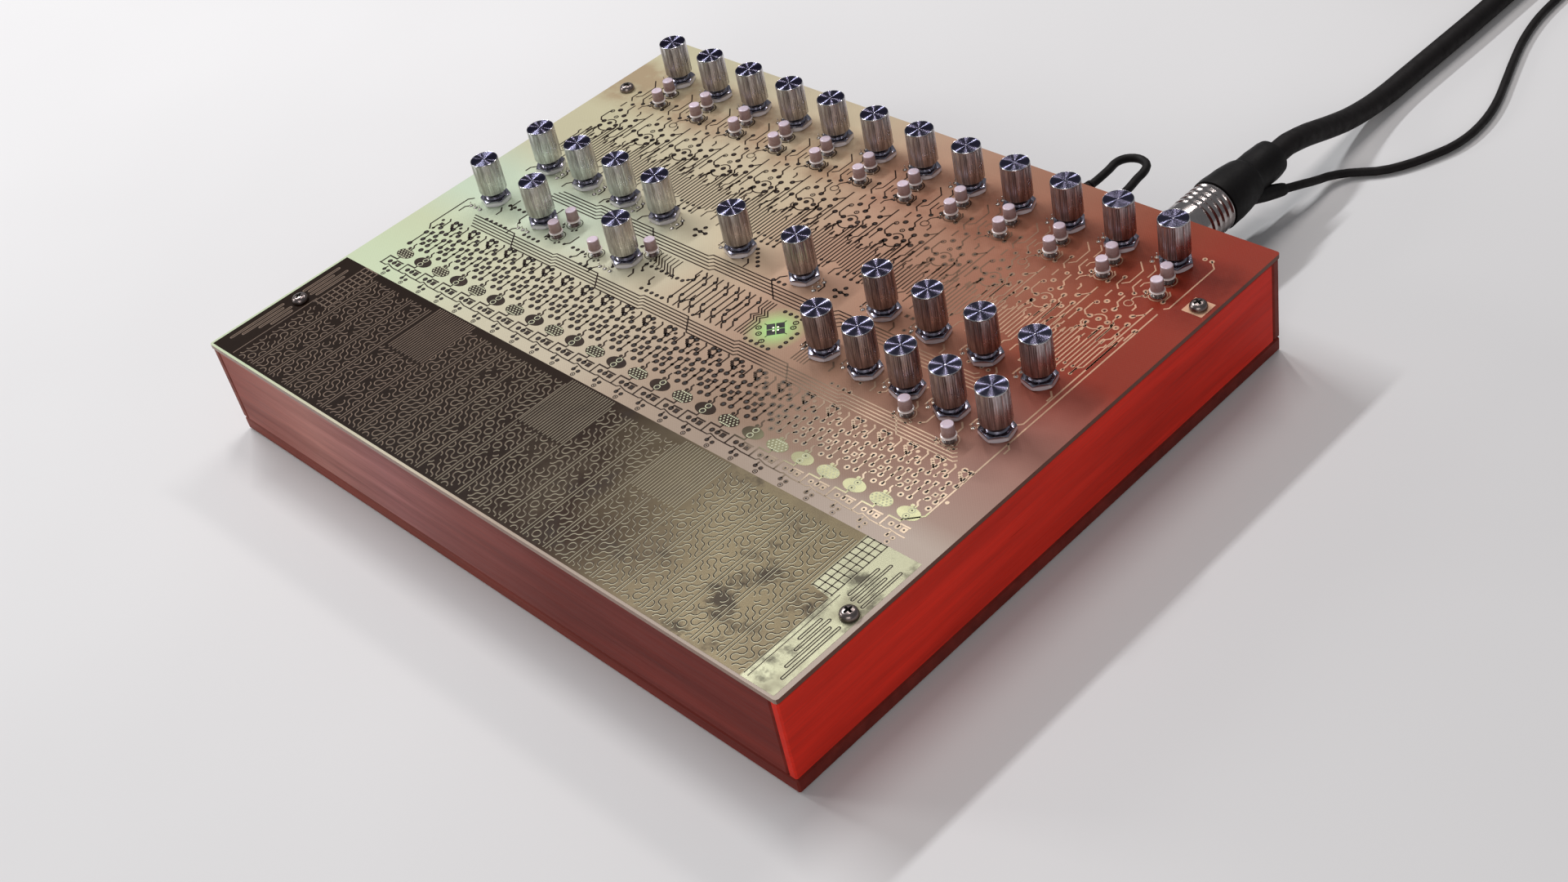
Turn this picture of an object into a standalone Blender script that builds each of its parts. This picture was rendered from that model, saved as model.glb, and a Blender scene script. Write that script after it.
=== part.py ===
# A table-top polyphonic synthesizer: a shallow wooden box whose lid is a bare
# circuit board with touch keys, knurled knobs and push buttons.
# Metres, +Z up, +X right, +Y to the back. The origin is the centre of the base's
# underside, which rests on the table.
import math

import bmesh
import bpy
from mathutils import Matrix, Vector
from mathutils.geometry import interpolate_bezier

# Case
PANEL_WIDTH = 0.270
PANEL_DEPTH = 0.219
PANEL_THICKNESS = 0.0016
PANEL_CORNER_RADIUS = 0.0010
PANEL_OVERHANG = 0.0004
WALL = 0.0030
WALL_HEIGHT = 0.0298
BASE_THICKNESS = 0.0050
EDGE_ROUNDING = 0.0005
SEAT_GAP = 0.0003

# Screws of the panel and the cleats that hold them
SCREW_LEFT_INSET = 0.0080
SCREW_RIGHT_INSET = 0.0050
SCREW_FRONT_INSET = 0.0324
SCREW_BACK_INSET = 0.0347
SCREW_HEAD_RADIUS = 0.0028
SCREW_HEAD_HEIGHT = 0.0020
SCREW_SHANK_RADIUS = 0.0013
SCREW_HEAD_SHAPE = [(0.62, 0.92), (0.93, 0.60)]
SCREW_TIP = -0.0095
SCREW_HOLE_CLEARANCE = 0.0003
CLEAT_WIDTH = 0.0100
CLEAT_OVERLAP = 0.0120

# Layout of the panel, counted in key pitches from the middle
KEY_COUNT = 24
KEY_MARGIN = 0.01816
BACK_ROW_INSET = 0.0206
MIDDLE_ROW_INSET = 0.0858
FRONT_ROW_INSET = 0.1100
VOICE_COUNT = 12
VOICE_COLUMNS = [2 * k - (VOICE_COUNT - 1) for k in range(VOICE_COUNT)]
MIDDLE_COLUMNS = [-10.97, -8.96, -6.96, -4.97, -1.3, 1.6, 5, 7, 9, 11]
FRONT_COLUMNS = [-11.18, -8.54, -4.25, 4.75, 6.42, 8.08, 9.75, 11.42]

# Knob, nut and potentiometer
KNOB_RADIUS = 0.0049
KNOB_HEIGHT = 0.0124
KNOB_CHAMFER = 0.0004
KNOB_RISE = 0.0046
SHAFT_RADIUS = 0.0030
BUSHING_RADIUS = 0.0035
BUSHING_RISE = 0.0032
BUSHING_CLEARANCE = 0.0002
NUT_ACROSS_CORNERS = 0.0104
NUT_HEIGHT = 0.0020
POT_WIDTH = 0.0090
POT_HEIGHT = 0.0066
POT_PIN_SIDE = 0.0018

# Push button and its switch
CAP_TOP_RADIUS = 0.0020
CAP_FOOT_RADIUS = 0.0021
CAP_HEIGHT = 0.0044
CAP_FLANGE_RADIUS = 0.00245
CAP_FLANGE_HEIGHT = 0.0005
CAP_RISE = 0.0018
PLUNGER_RADIUS = 0.0014
PLUNGER_CLEARANCE = 0.0004
BAR_DEPTH = 0.0004
BAR_WIDTH = 0.0020
BAR_THICKNESS = 0.0010
BUTTON_TRAVEL = 0.0015
SWITCH_WIDTH = 0.0044
SWITCH_HEIGHT = 0.0042
REAR_BUTTON = Vector((0.0030, -0.0083))
FRONT_BUTTON = Vector((0.0046, -0.0154))
LEFT_PAIR = [(-7.45, 0.0046), (-7.45, -0.0034)]
LEFT_THIRD = (-5.44, -0.0032)
LEFT_FOURTH = (-3.73, 0.0070)
RIGHT_PAIR = [(8.74, -0.0081), (10.51, -0.0101)]

# Circuits under the panel
CHIP_WIDTH = 0.0066
CHIP_LENGTH = 0.0190
CHIP_HEIGHT = 0.0034
CHIP_ROW_INSET = 0.0620
LAMP_COLUMN = 2.66
LAMP_RADIUS = 0.0025
LAMP_HEIGHT = 0.0050
WIRE_WIDTH = 0.0008
POT_WIRE_COLUMN = -11.15
POT_WIRE_OFFSET = 0.0008
CHIP_WIRE_OFFSET = 0.0025
LEFT_WIRE_COLUMN = -3.0
RIGHT_WIRE_COLUMN = 7.87
RIGHT_WIRE_TURN = 0.0105

# Sockets in the back board, and the plugs in them
SOCKET_INSET = 0.0475
SOCKET_Z = 0.0180
SOCKET_RADIUS = 0.0085
SOCKET_FLANGE_RADIUS = 0.0112
SOCKET_FLANGE = 0.0024
SOCKET_DEPTH = 0.0140
SOCKET_CLEARANCE = 0.0003
LINK_INSET = 0.0865
LINK_SPACING = 0.0127
LINK_Z = 0.0220
JACK_RADIUS = 0.0030
JACK_NUT_RADIUS = 0.0040
JACK_NUT_HEIGHT = 0.0018
JACK_DEPTH = 0.0100
PLUG_RADIUS = 0.00895
PLUG_LENGTH = 0.0295
GROOVE_COUNT = 5
END_GROOVE_COUNT = 1
GROOVE_PITCH = 0.0026
GROOVE_DEPTH = 0.0007
GROOVE_WIDTH = 0.0014
GROOVE_END = 0.0016
SLEEVE_LENGTH = 0.0335
SLEEVE_WALL = 0.0004
SLEEVE_WAIST = 0.0080
SLEEVE_STEP = 0.0006
SLEEVE_END_RADIUS = 0.0056
SLEEVE_STATIONS = (0.93, 0.78, 0.52, 0.51, 0.30, 0.10)
BRANCH_RADIUS = 0.0024
BRANCH_LENGTH = 0.0160

# Cords
MAIN_CABLE_RADIUS = 0.0040
THIN_CABLE_RADIUS = 0.0015
LINK_CABLE_RADIUS = 0.0015
LINK_BOOT_RADIUS = 0.0026
LINK_BOOT_LENGTH = 0.0160
LINK_BOOT_SHOULDER = 0.55
COIL_CLEARANCE = 0.0006
END_PLUG_LENGTH = 0.0400
END_BOOT_LENGTH = 0.0140
END_BOOT_SHOULDER = 0.30
THIN_PLUG_RADIUS = 0.0045
THIN_PLUG_LENGTH = 0.0220
THIN_BOOT_LENGTH = 0.0080
LOOP_POINTS = 20

# Routes of the cords. Those of the two cables are measured from the foot of the
# main socket, the short lead's from the foot of its left plug.
MAIN_COIL_OFFSET = (-0.0479, 0.2689)
MAIN_COIL_RADIUS = 0.0490
MAIN_TURNS, MAIN_LAYERS = 2.125, 2
THIN_EXIT = Vector((0.0082, 0.0611, 0.0108))
THIN_DIRECTION = Vector((0.22, 0.94, -0.26)).normalized()
THIN_COIL_OFFSET = (0.0392, 0.2649)
THIN_COIL_RADIUS = 0.0220
THIN_TURNS, THIN_LAYERS = 2.5625, 2
MAIN_ROUTE = [
    (0.0000, 0.0747, 0.0180), (0.0002, 0.0849, 0.0158), (0.0005, 0.0979, 0.0117),
    (0.0007, 0.1109, 0.0080), (0.0006, 0.1249, 0.0054), (0.0005, 0.1384, 0.0042),
    (0.0005, 0.1516, 0.0040), (0.0007, 0.1649, 0.0040), (0.0009, 0.1784, 0.0040),
    (0.0011, 0.1924, 0.0040), (0.0011, 0.2127, 0.0040), (0.0011, 0.2329, 0.0040),
    (0.0011, 0.2509, 0.0040)]
MAIN_TAIL = [
    (-0.0675, 0.3177, 0.0118), (-0.0825, 0.3169, 0.0090), (-0.0975, 0.3124, 0.0058),
    (-0.1095, 0.3024, 0.0044), (-0.1170, 0.2894, 0.0046), (-0.1200, 0.2749, 0.0060),
    (-0.1205, 0.2609, 0.0088), (-0.1205, 0.2529, 0.0090)]
THIN_ROUTE = [
    (0.0092, 0.0655, 0.0096), (0.0098, 0.0704, 0.0080), (0.0103, 0.0764, 0.0058),
    (0.0110, 0.0839, 0.0035), (0.0145, 0.0909, 0.0019), (0.0225, 0.0976, 0.0015),
    (0.0281, 0.1054, 0.0015), (0.0320, 0.1134, 0.0015), (0.0352, 0.1219, 0.0015),
    (0.0365, 0.1314, 0.0015), (0.0360, 0.1424, 0.0015), (0.0337, 0.1539, 0.0015),
    (0.0297, 0.1666, 0.0015), (0.0253, 0.1801, 0.0015), (0.0210, 0.1949, 0.0015),
    (0.0181, 0.2107, 0.0015), (0.0172, 0.2256, 0.0015), (0.0172, 0.2409, 0.0015),
    (0.0172, 0.2529, 0.0015)]
THIN_TAIL = [
    (0.0305, 0.2871, 0.0050), (0.0387, 0.2931, 0.0046), (0.0485, 0.2957, 0.0045),
    (0.0590, 0.2939, 0.0045), (0.0675, 0.2879, 0.0045), (0.0725, 0.2794, 0.0045),
    (0.0740, 0.2709, 0.0045), (0.0740, 0.2649, 0.0045)]
LINK_ROUTE = [
    (0, 0.0080, 0), (0, 0.0190, -0.0001), (-0.0006, 0.0265, -0.0003),
    (-0.0013, 0.0315, -0.0005), (0.0003, 0.0355, -0.0007), (0.0042, 0.0373, -0.0008),
    (0.0082, 0.0356, -0.0007), (0.0102, 0.0316, -0.0005), (0.0110, 0.0265, -0.0003),
    (0.0122, 0.0205, -0.0001), (0.0127, 0.0150, 0), (0.0127, 0.0080, 0)]

# Facets
KNOB_SIDES = 12
CAP_SIDES = 8
BUSHING_SIDES = 8
PLUG_SIDES = 16
SCREW_SIDES = 8
JACK_SIDES = 10

SHARP_ANGLE = math.radians(30)
MERGE = 0.00001

# Heights and edges that follow from the sizes above
WALL_BOTTOM = BASE_THICKNESS + SEAT_GAP
WALL_TOP = WALL_BOTTOM + WALL_HEIGHT
PANEL_BOTTOM = WALL_TOP + SEAT_GAP
PANEL_TOP = PANEL_BOTTOM + PANEL_THICKNESS
BOX_WIDTH = PANEL_WIDTH - 2 * PANEL_OVERHANG
BOX_DEPTH = PANEL_DEPTH - 2 * PANEL_OVERHANG
BOX_BACK = BOX_DEPTH / 2
KEY_PITCH = (PANEL_WIDTH - 2 * KEY_MARGIN) / (KEY_COUNT - 1)
BACK_ROW = PANEL_DEPTH / 2 - BACK_ROW_INSET
MIDDLE_ROW = PANEL_DEPTH / 2 - MIDDLE_ROW_INSET
FRONT_ROW = PANEL_DEPTH / 2 - FRONT_ROW_INSET
PLUNGER_HOLE_RADIUS = PLUNGER_RADIUS + PLUNGER_CLEARANCE
BUSHING_HOLE_RADIUS = BUSHING_RADIUS + BUSHING_CLEARANCE
UNDERSIDE = -PANEL_THICKNESS
PARTS_TOP = UNDERSIDE - SEAT_GAP
BAR_LIFT = 0.0001
PLUNGER_FOOT = UNDERSIDE - BAR_DEPTH - BAR_THICKNESS
SWITCH_TOP = PLUNGER_FOOT - BUTTON_TRAVEL - SEAT_GAP
CHIP_ROW = PANEL_DEPTH / 2 - CHIP_ROW_INSET
PLUG_START = BOX_BACK + SEAT_GAP + SOCKET_FLANGE + SEAT_GAP
PLUG_END = PLUG_START + PLUG_LENGTH
SLEEVE_START = PLUG_END + SEAT_GAP
SLEEVE_END = SLEEVE_START + SLEEVE_LENGTH
SOCKET_X = PANEL_WIDTH / 2 - SOCKET_INSET
LINK_X = PANEL_WIDTH / 2 - LINK_INSET
LINK_START = BOX_BACK + JACK_NUT_HEIGHT + 2 * SEAT_GAP
LINK_FOOT = Vector((LINK_X, LINK_START, LINK_Z))
SOCKET_FOOT = Vector((SOCKET_X, BOX_BACK, 0))
MAIN_EXIT = Vector((SOCKET_X, SLEEVE_END + SEAT_GAP, SOCKET_Z))
THIN_START = SOCKET_FOOT + THIN_EXIT


# Scene, materials and small helpers
def clear_scene():
    for obj in list(bpy.data.objects):
        bpy.data.objects.remove(obj, do_unlink=True)


def make_material(name, colour, roughness, metallic=0.0):
    material = bpy.data.materials.new(name)
    material.use_nodes = True
    shader = material.node_tree.nodes["Principled BSDF"]
    shader.inputs["Base Color"].default_value = (*colour, 1.0)
    shader.inputs["Roughness"].default_value = roughness
    shader.inputs["Metallic"].default_value = metallic
    return material


def make_collection(name):
    collection = bpy.data.collections.new(name)
    bpy.context.scene.collection.children.link(collection)
    return collection


def new_object(name, data, material=None, location=(0, 0, 0)):
    obj = bpy.data.objects.new(name, data)
    obj.location = location
    parts.objects.link(obj)
    if material is not None:
        obj.data.materials.append(material)
    return obj


def as_cutter(obj):
    parts.objects.unlink(obj)
    cutters.objects.link(obj)
    obj.hide_render = True
    obj.display_type = "WIRE"
    return obj


def slab(name, low, high, material=None):
    """A board between two corners."""
    low, high = Vector(low), Vector(high)
    mesh = bpy.data.meshes.new(name)
    block = bmesh.new()
    bmesh.ops.create_cube(block, size=1.0, matrix=Matrix.LocRotScale(
        (low + high) / 2, None, high - low))
    block.to_mesh(mesh)
    block.free()
    return new_object(name, mesh, material)


def round_edges(obj, width, segments=1):
    bevel = obj.modifiers.new("rounding", "BEVEL")
    bevel.width = width
    bevel.segments = segments
    bevel.limit_method = "ANGLE"
    return obj


def cut(obj, cutter, operation="DIFFERENCE"):
    boolean = obj.modifiers.new("cut", "BOOLEAN")
    boolean.operation = operation
    boolean.solver = "EXACT"
    boolean.object = as_cutter(cutter)
    return obj


def fuse(obj, *pieces):
    for piece in pieces:
        cut(obj, piece, "UNION").modifiers[-1].use_self = True
    return obj


def profile_mesh(name, profile):
    """The outline of a turned piece: (radius, height) from its top to its foot."""
    mesh = bpy.data.meshes.new(name)
    edges = [(i, i + 1) for i in range(len(profile) - 1)]
    mesh.from_pydata([(r, 0, z) for r, z in profile], edges, [])
    return mesh


def turned(name, mesh, sides, material=None, location=(0, 0, 0), along="Z"):
    """A turned piece whose axis runs up, or along +Y from its location."""
    obj = new_object(name, mesh, None, location)
    if along == "Y":
        obj.rotation_euler = (-math.pi / 2, 0, 0)
    if along == "-Y":
        obj.rotation_euler = (math.pi / 2, 0, 0)
    screw = obj.modifiers.new("turn", "SCREW")
    screw.steps = screw.render_steps = sides
    screw.use_merge_vertices = True
    screw.merge_threshold = MERGE
    weld = obj.modifiers.new("weld", "WELD")
    weld.merge_threshold = MERGE
    if material is not None and not mesh.materials:
        mesh.materials.append(material)
    return obj


def finished_mesh(obj):
    """The mesh of an object with its modifiers, in the object's own frame."""
    bpy.context.view_layer.update()
    depsgraph = bpy.context.evaluated_depsgraph_get()
    mesh = bpy.data.meshes.new_from_object(obj.evaluated_get(depsgraph))
    welded = bmesh.new()
    welded.from_mesh(mesh)
    bmesh.ops.remove_doubles(welded, verts=welded.verts, dist=MERGE)
    welded.to_mesh(mesh)
    welded.free()
    return mesh


def smooth(obj):
    """Shades a round piece smooth, but for the edges where its faces turn sharply."""
    mesh = finished_mesh(obj)
    mesh.shade_smooth()
    mesh.set_sharp_from_angle(angle=SHARP_ANGLE)
    obj.modifiers.clear()
    obj.data = mesh
    return obj


def repeated(name, pattern, places, material=None):
    """One object made of a copy of the pattern's mesh at each place."""
    unit = finished_mesh(pattern)
    joined = bmesh.new()
    for place in places:
        count = len(joined.verts)
        joined.from_mesh(unit)
        joined.verts.ensure_lookup_table()
        bmesh.ops.translate(joined, vec=Vector(place), verts=joined.verts[count:])
    mesh = bpy.data.meshes.new(name)
    joined.to_mesh(mesh)
    joined.free()
    bpy.data.objects.remove(pattern, do_unlink=True)
    mesh.materials.clear()
    return new_object(name, mesh, material)


def spread_copies(pattern, places):
    """An object at each named place. All of them share the pattern's mesh."""
    mesh = smooth(pattern).data
    bpy.data.objects.remove(pattern, do_unlink=True)
    for name, place in places.items():
        new_object(name, mesh, None, place)


def post(name, radius, low, high, sides):
    """A plain upright cylinder between two heights."""
    mesh = bpy.data.meshes.new(name)
    body = bmesh.new()
    bmesh.ops.create_cone(body, cap_ends=True, segments=sides, radius1=radius,
                          radius2=radius, depth=high - low,
                          matrix=Matrix.Translation((0, 0, (low + high) / 2)))
    body.to_mesh(mesh)
    body.free()
    return new_object(name, mesh)


# Places on the panel
def at_column(column, row):
    return Vector((column * KEY_PITCH, row, PANEL_TOP))


def knob_places():
    places = {f"voice_knob_{k + 1:02d}": at_column(column, BACK_ROW)
              for k, column in enumerate(VOICE_COLUMNS)}
    for k, column in enumerate(MIDDLE_COLUMNS):
        places[f"middle_knob_{k + 1:02d}"] = at_column(column, MIDDLE_ROW)
    for k, column in enumerate(FRONT_COLUMNS):
        places[f"front_knob_{k + 1:02d}"] = at_column(column, FRONT_ROW)
    return places


def button_places():
    def beside(column, offset):
        return at_column(column, BACK_ROW) + offset.to_3d()

    def at_front(column, step):
        return at_column(column, FRONT_ROW + step)

    return {
        "rear_voice_buttons": [beside(c, REAR_BUTTON) for c in VOICE_COLUMNS],
        "front_voice_buttons": [beside(c, FRONT_BUTTON) for c in VOICE_COLUMNS],
        "left_button_pair": [at_front(*place) for place in LEFT_PAIR],
        "left_third_button": [at_front(*LEFT_THIRD)],
        "left_fourth_button": [at_front(*LEFT_FOURTH)],
        "right_button_pair": [at_front(*place) for place in RIGHT_PAIR],
    }


def screw_places():
    left = SCREW_LEFT_INSET - PANEL_WIDTH / 2
    right = PANEL_WIDTH / 2 - SCREW_RIGHT_INSET
    front = SCREW_FRONT_INSET - PANEL_DEPTH / 2
    back = PANEL_DEPTH / 2 - SCREW_BACK_INSET
    return [Vector((x, y, PANEL_TOP)) for x in (left, right) for y in (front, back)]


# The wooden box
def make_box():
    half_width, half_depth = BOX_WIDTH / 2, BOX_DEPTH / 2
    base = slab("base_board", (-half_width, -half_depth, 0),
                (half_width, half_depth, BASE_THICKNESS), base_wood)
    round_edges(base, EDGE_ROUNDING)
    inner = half_width - WALL
    for name, side in (("left_board", -1), ("right_board", 1)):
        edges = sorted((side * inner, side * half_width))
        board = slab(name, (edges[0], -half_depth, WALL_BOTTOM),
                     (edges[1], half_depth - WALL - SEAT_GAP, WALL_TOP), wood)
        round_edges(board, EDGE_ROUNDING)
    front = slab("front_board", (-inner + SEAT_GAP, -half_depth, WALL_BOTTOM),
                 (inner - SEAT_GAP, WALL - half_depth, WALL_TOP), wood)
    round_edges(front, EDGE_ROUNDING)
    back = slab("back_board", (-half_width, half_depth - WALL, WALL_BOTTOM),
                (half_width, half_depth, WALL_TOP), wood)
    round_edges(back, EDGE_ROUNDING)
    for number, (x, z, radius, sides) in enumerate(socket_holes()):
        hole = post(f"socket_hole_{number}", radius, -2 * WALL, 2 * WALL, sides)
        hole.location = (x, half_depth, z)
        hole.rotation_euler = (-math.pi / 2, 0, 0)
        cut(back, hole)


def socket_holes():
    jack_hole = JACK_RADIUS + SOCKET_CLEARANCE
    return [(SOCKET_X, SOCKET_Z, SOCKET_RADIUS + SOCKET_CLEARANCE, PLUG_SIDES),
            (LINK_X, LINK_Z, jack_hole, JACK_SIDES),
            (LINK_X + LINK_SPACING, LINK_Z, jack_hole, JACK_SIDES)]


def make_cleats():
    """A strip glued inside each side board, which takes the panel's screws."""
    inner = BOX_WIDTH / 2 - WALL - SEAT_GAP
    ends = sorted({spot.y for spot in screw_places()})
    for name, side in (("left_cleat", -1), ("right_cleat", 1)):
        edges = sorted((side * inner, side * (inner - CLEAT_WIDTH)))
        cleat = slab(name, (edges[0], ends[0] - CLEAT_OVERLAP, WALL_TOP - CLEAT_WIDTH),
                     (edges[1], ends[1] + CLEAT_OVERLAP, WALL_TOP), cleat_wood)
        bore = post("pilot_bore", SCREW_SHANK_RADIUS + SCREW_HOLE_CLEARANCE,
                    UNDERSIDE - CLEAT_WIDTH - PANEL_THICKNESS, PANEL_THICKNESS, SCREW_SIDES)
        spots = [spot for spot in screw_places() if spot.x * side > 0]
        cut(cleat, repeated(name + "_bores", bore, spots))


def join(name, objects, material=None):
    """Separate solids gathered in one object."""
    bpy.context.view_layer.update()
    joined = bmesh.new()
    for obj in objects:
        count = len(joined.verts)
        joined.from_mesh(finished_mesh(obj))
        joined.verts.ensure_lookup_table()
        bmesh.ops.transform(joined, matrix=obj.matrix_world, verts=joined.verts[count:])
    mesh = bpy.data.meshes.new(name)
    joined.to_mesh(mesh)
    joined.free()
    for obj in objects:
        bpy.data.objects.remove(obj, do_unlink=True)
    mesh.materials.clear()
    return new_object(name, mesh, material)


# The panel and what is fixed to it
def make_panel():
    half = Vector((PANEL_WIDTH / 2, PANEL_DEPTH / 2, 0))
    panel = slab("panel_board", (-half.x, -half.y, PANEL_BOTTOM),
                 (half.x, half.y, PANEL_TOP), laminate)
    points = panel.data.vertices
    weights = panel.data.attributes.new("bevel_weight_edge", "FLOAT", "EDGE")
    for edge in panel.data.edges:
        start, end = (points[index].co for index in edge.vertices)
        weights.data[edge.index].value = float(abs(start.z - end.z) > PANEL_THICKNESS / 2)
    corners = panel.modifiers.new("corners", "BEVEL")
    corners.width = PANEL_CORNER_RADIUS
    corners.segments = 2
    corners.limit_method = "WEIGHT"
    depth = 2 * PANEL_THICKNESS
    buttons = [spot for group in button_places().values() for spot in group]
    for name, radius, sides, places in (
            ("bushing_holes", BUSHING_HOLE_RADIUS, BUSHING_SIDES, knob_places().values()),
            ("plunger_holes", PLUNGER_HOLE_RADIUS, CAP_SIDES, buttons),
            ("screw_holes", SCREW_SHANK_RADIUS + SCREW_HOLE_CLEARANCE, SCREW_SIDES,
             screw_places())):
        hole = post(name + "_pattern", radius, -depth, depth, sides)
        cut(panel, repeated(name, hole, places))


def make_screws():
    """Pan-head wood screws."""
    head, shank = SCREW_HEAD_RADIUS, SCREW_SHANK_RADIUS
    foot, tip = SEAT_GAP, SCREW_TIP
    profile = [(0, foot + SCREW_HEAD_HEIGHT)]
    profile += [(head * out, foot + SCREW_HEAD_HEIGHT * up) for out, up in SCREW_HEAD_SHAPE]
    profile += [(head, foot), (shank, foot), (shank, tip + shank), (0, tip)]
    pattern = turned("screw_pattern", profile_mesh("screw_profile", profile), SCREW_SIDES,
                     screw_steel)
    names = ("front_left", "back_left", "front_right", "back_right")
    spread_copies(pattern, {"panel_screw_" + name: spot
                            for name, spot in zip(names, screw_places())})


def make_potentiometers():
    """Potentiometers under the panel with their nuts on top. Wires join their cans."""
    top, half = PARTS_TOP, POT_WIDTH / 2
    foot = top - POT_HEIGHT
    can = slab("pot_pattern", (-half - POT_PIN_SIDE, -half, foot), (half, half, top))
    fuse(can, post("bushing_pattern", BUSHING_RADIUS, top - POT_HEIGHT / 2, BUSHING_RISE,
                   BUSHING_SIDES),
         post("nut_pattern", NUT_ACROSS_CORNERS / 2, SEAT_GAP, SEAT_GAP + NUT_HEIGHT, 6))
    places = knob_places().values()
    rows = ((BACK_ROW, VOICE_COLUMNS), (MIDDLE_ROW, MIDDLE_COLUMNS),
            (FRONT_ROW + POT_WIRE_OFFSET, FRONT_COLUMNS))
    wires = [wire((columns[0], row), (columns[-1], row), foot) for row, columns in rows]
    spine = wire((POT_WIRE_COLUMN, FRONT_ROW), (POT_WIRE_COLUMN, BACK_ROW), foot)
    pots = join("potentiometers", [spine], pot_shell)
    fuse(pots, join("pot_wires", wires), repeated("pot_cans", can, places))


def wire(start, end, foot):
    """A flat wire beneath the panel between two (column, row) places."""
    (left, front), (right, back) = sorted((start, end))
    front, back = sorted((front, back))
    half = WIRE_WIDTH / 2
    return slab("wire", at_column(left, front) + Vector((-half, -half, foot)),
                at_column(right, back) + Vector((half, half, foot + WIRE_WIDTH)))


def make_circuit_parts():
    """Switches, voice chips and a lamp, soldered beneath the panel and wired together."""
    foot = PARTS_TOP - CHIP_HEIGHT - WIRE_WIDTH / 2
    chip = slab("chip_pattern", (-CHIP_WIDTH / 2, -CHIP_LENGTH / 2, PARTS_TOP - CHIP_HEIGHT),
                (CHIP_WIDTH / 2, CHIP_LENGTH / 2, PARTS_TOP))
    half = SWITCH_WIDTH / 2
    switch = slab("switch_pattern", (-half, -half, SWITCH_TOP - SWITCH_HEIGHT),
                  (half, half, SWITCH_TOP))
    lamp = post("lamp", LAMP_RADIUS, PARTS_TOP - LAMP_HEIGHT, PARTS_TOP, JACK_SIDES)
    lamp.location = at_column(LAMP_COLUMN, FRONT_ROW)
    groups = button_places()
    spots = [spot for group in groups.values() for spot in group]
    offset = CHIP_WIRE_OFFSET / KEY_PITCH
    rear = BACK_ROW + REAR_BUTTON.y
    voices = [wire((c + offset, CHIP_ROW), (c + offset, rear), foot) for c in VOICE_COLUMNS]
    lower = FRONT_ROW + LEFT_PAIR[1][1]
    fourth = FRONT_ROW + LEFT_FOURTH[1]
    turn = FRONT_ROW + RIGHT_WIRE_TURN
    near, far = (column for column, _ in RIGHT_PAIR)
    middle = FRONT_ROW + (RIGHT_PAIR[0][1] + RIGHT_PAIR[1][1]) / 2
    runs = [wire((LEFT_WIRE_COLUMN, CHIP_ROW), (LEFT_WIRE_COLUMN, fourth), foot),
            wire((LEFT_WIRE_COLUMN, fourth), (LEFT_PAIR[0][0], fourth), foot),
            wire((LEFT_THIRD[0], fourth), (LEFT_THIRD[0], FRONT_ROW + LEFT_THIRD[1]), foot),
            wire((LEFT_PAIR[0][0], fourth), (LEFT_PAIR[0][0], lower), foot),
            wire((RIGHT_WIRE_COLUMN, CHIP_ROW), (RIGHT_WIRE_COLUMN, turn), foot),
            wire((RIGHT_WIRE_COLUMN, turn), (near, turn), foot),
            wire((near, turn), (near, middle), foot),
            wire((near, middle), (far, middle), foot),
            wire((LAMP_COLUMN, CHIP_ROW), (LAMP_COLUMN, FRONT_ROW), foot)]
    row = wire((VOICE_COLUMNS[0], CHIP_ROW), (VOICE_COLUMNS[-1], CHIP_ROW), foot)
    circuits = join("circuit_parts", [row], chip_plastic)
    fuse(circuits, join("voice_wires", voices), *runs,
         repeated("chips", chip, [at_column(c, CHIP_ROW) for c in VOICE_COLUMNS]),
         repeated("switches", switch, spots), lamp)


# The parts that move
def make_knobs():
    top, foot = KNOB_RISE + KNOB_HEIGHT, KNOB_RISE
    stub = BUSHING_RISE + SEAT_GAP
    profile = [(0, top), (KNOB_RADIUS - KNOB_CHAMFER, top),
               (KNOB_RADIUS, top - KNOB_CHAMFER), (KNOB_RADIUS, foot),
               (SHAFT_RADIUS, foot), (SHAFT_RADIUS, stub), (0, stub)]
    spread_copies(turned("knob_pattern", profile_mesh("knob_profile", profile), KNOB_SIDES,
                         aluminium), knob_places())


def make_buttons():
    """Caps on plungers. A bar beneath the panel joins the buttons of a group."""
    top, foot = CAP_RISE + CAP_HEIGHT, CAP_RISE
    rim = foot + CAP_FLANGE_HEIGHT
    profile = [(0, top), (CAP_TOP_RADIUS, top), (CAP_FOOT_RADIUS, rim),
               (CAP_FLANGE_RADIUS, rim), (CAP_FLANGE_RADIUS, foot),
               (PLUNGER_RADIUS, foot), (PLUNGER_RADIUS, PLUNGER_FOOT), (0, PLUNGER_FOOT)]
    mesh = profile_mesh("cap_profile", profile)
    for name, places in button_places().items():
        if len(places) == 1:
            smooth(turned(name, mesh.copy(), CAP_SIDES, cap_plastic, places[0]))
            continue
        caps = repeated(name + "_caps", turned("cap_pattern", mesh, CAP_SIDES), places)
        start, end = places[0], places[-1]
        size = Vector(((end - start).length, BAR_WIDTH, BAR_THICKNESS))
        bar = slab(name, -size / 2, size / 2, cap_plastic)
        bar.location = (start + end) / 2
        bar.location.z += PLUNGER_FOOT + BAR_THICKNESS / 2 + BAR_LIFT
        bar.rotation_euler.z = math.atan2(end.y - start.y, end.x - start.x)
        fuse(bar, caps)


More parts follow.
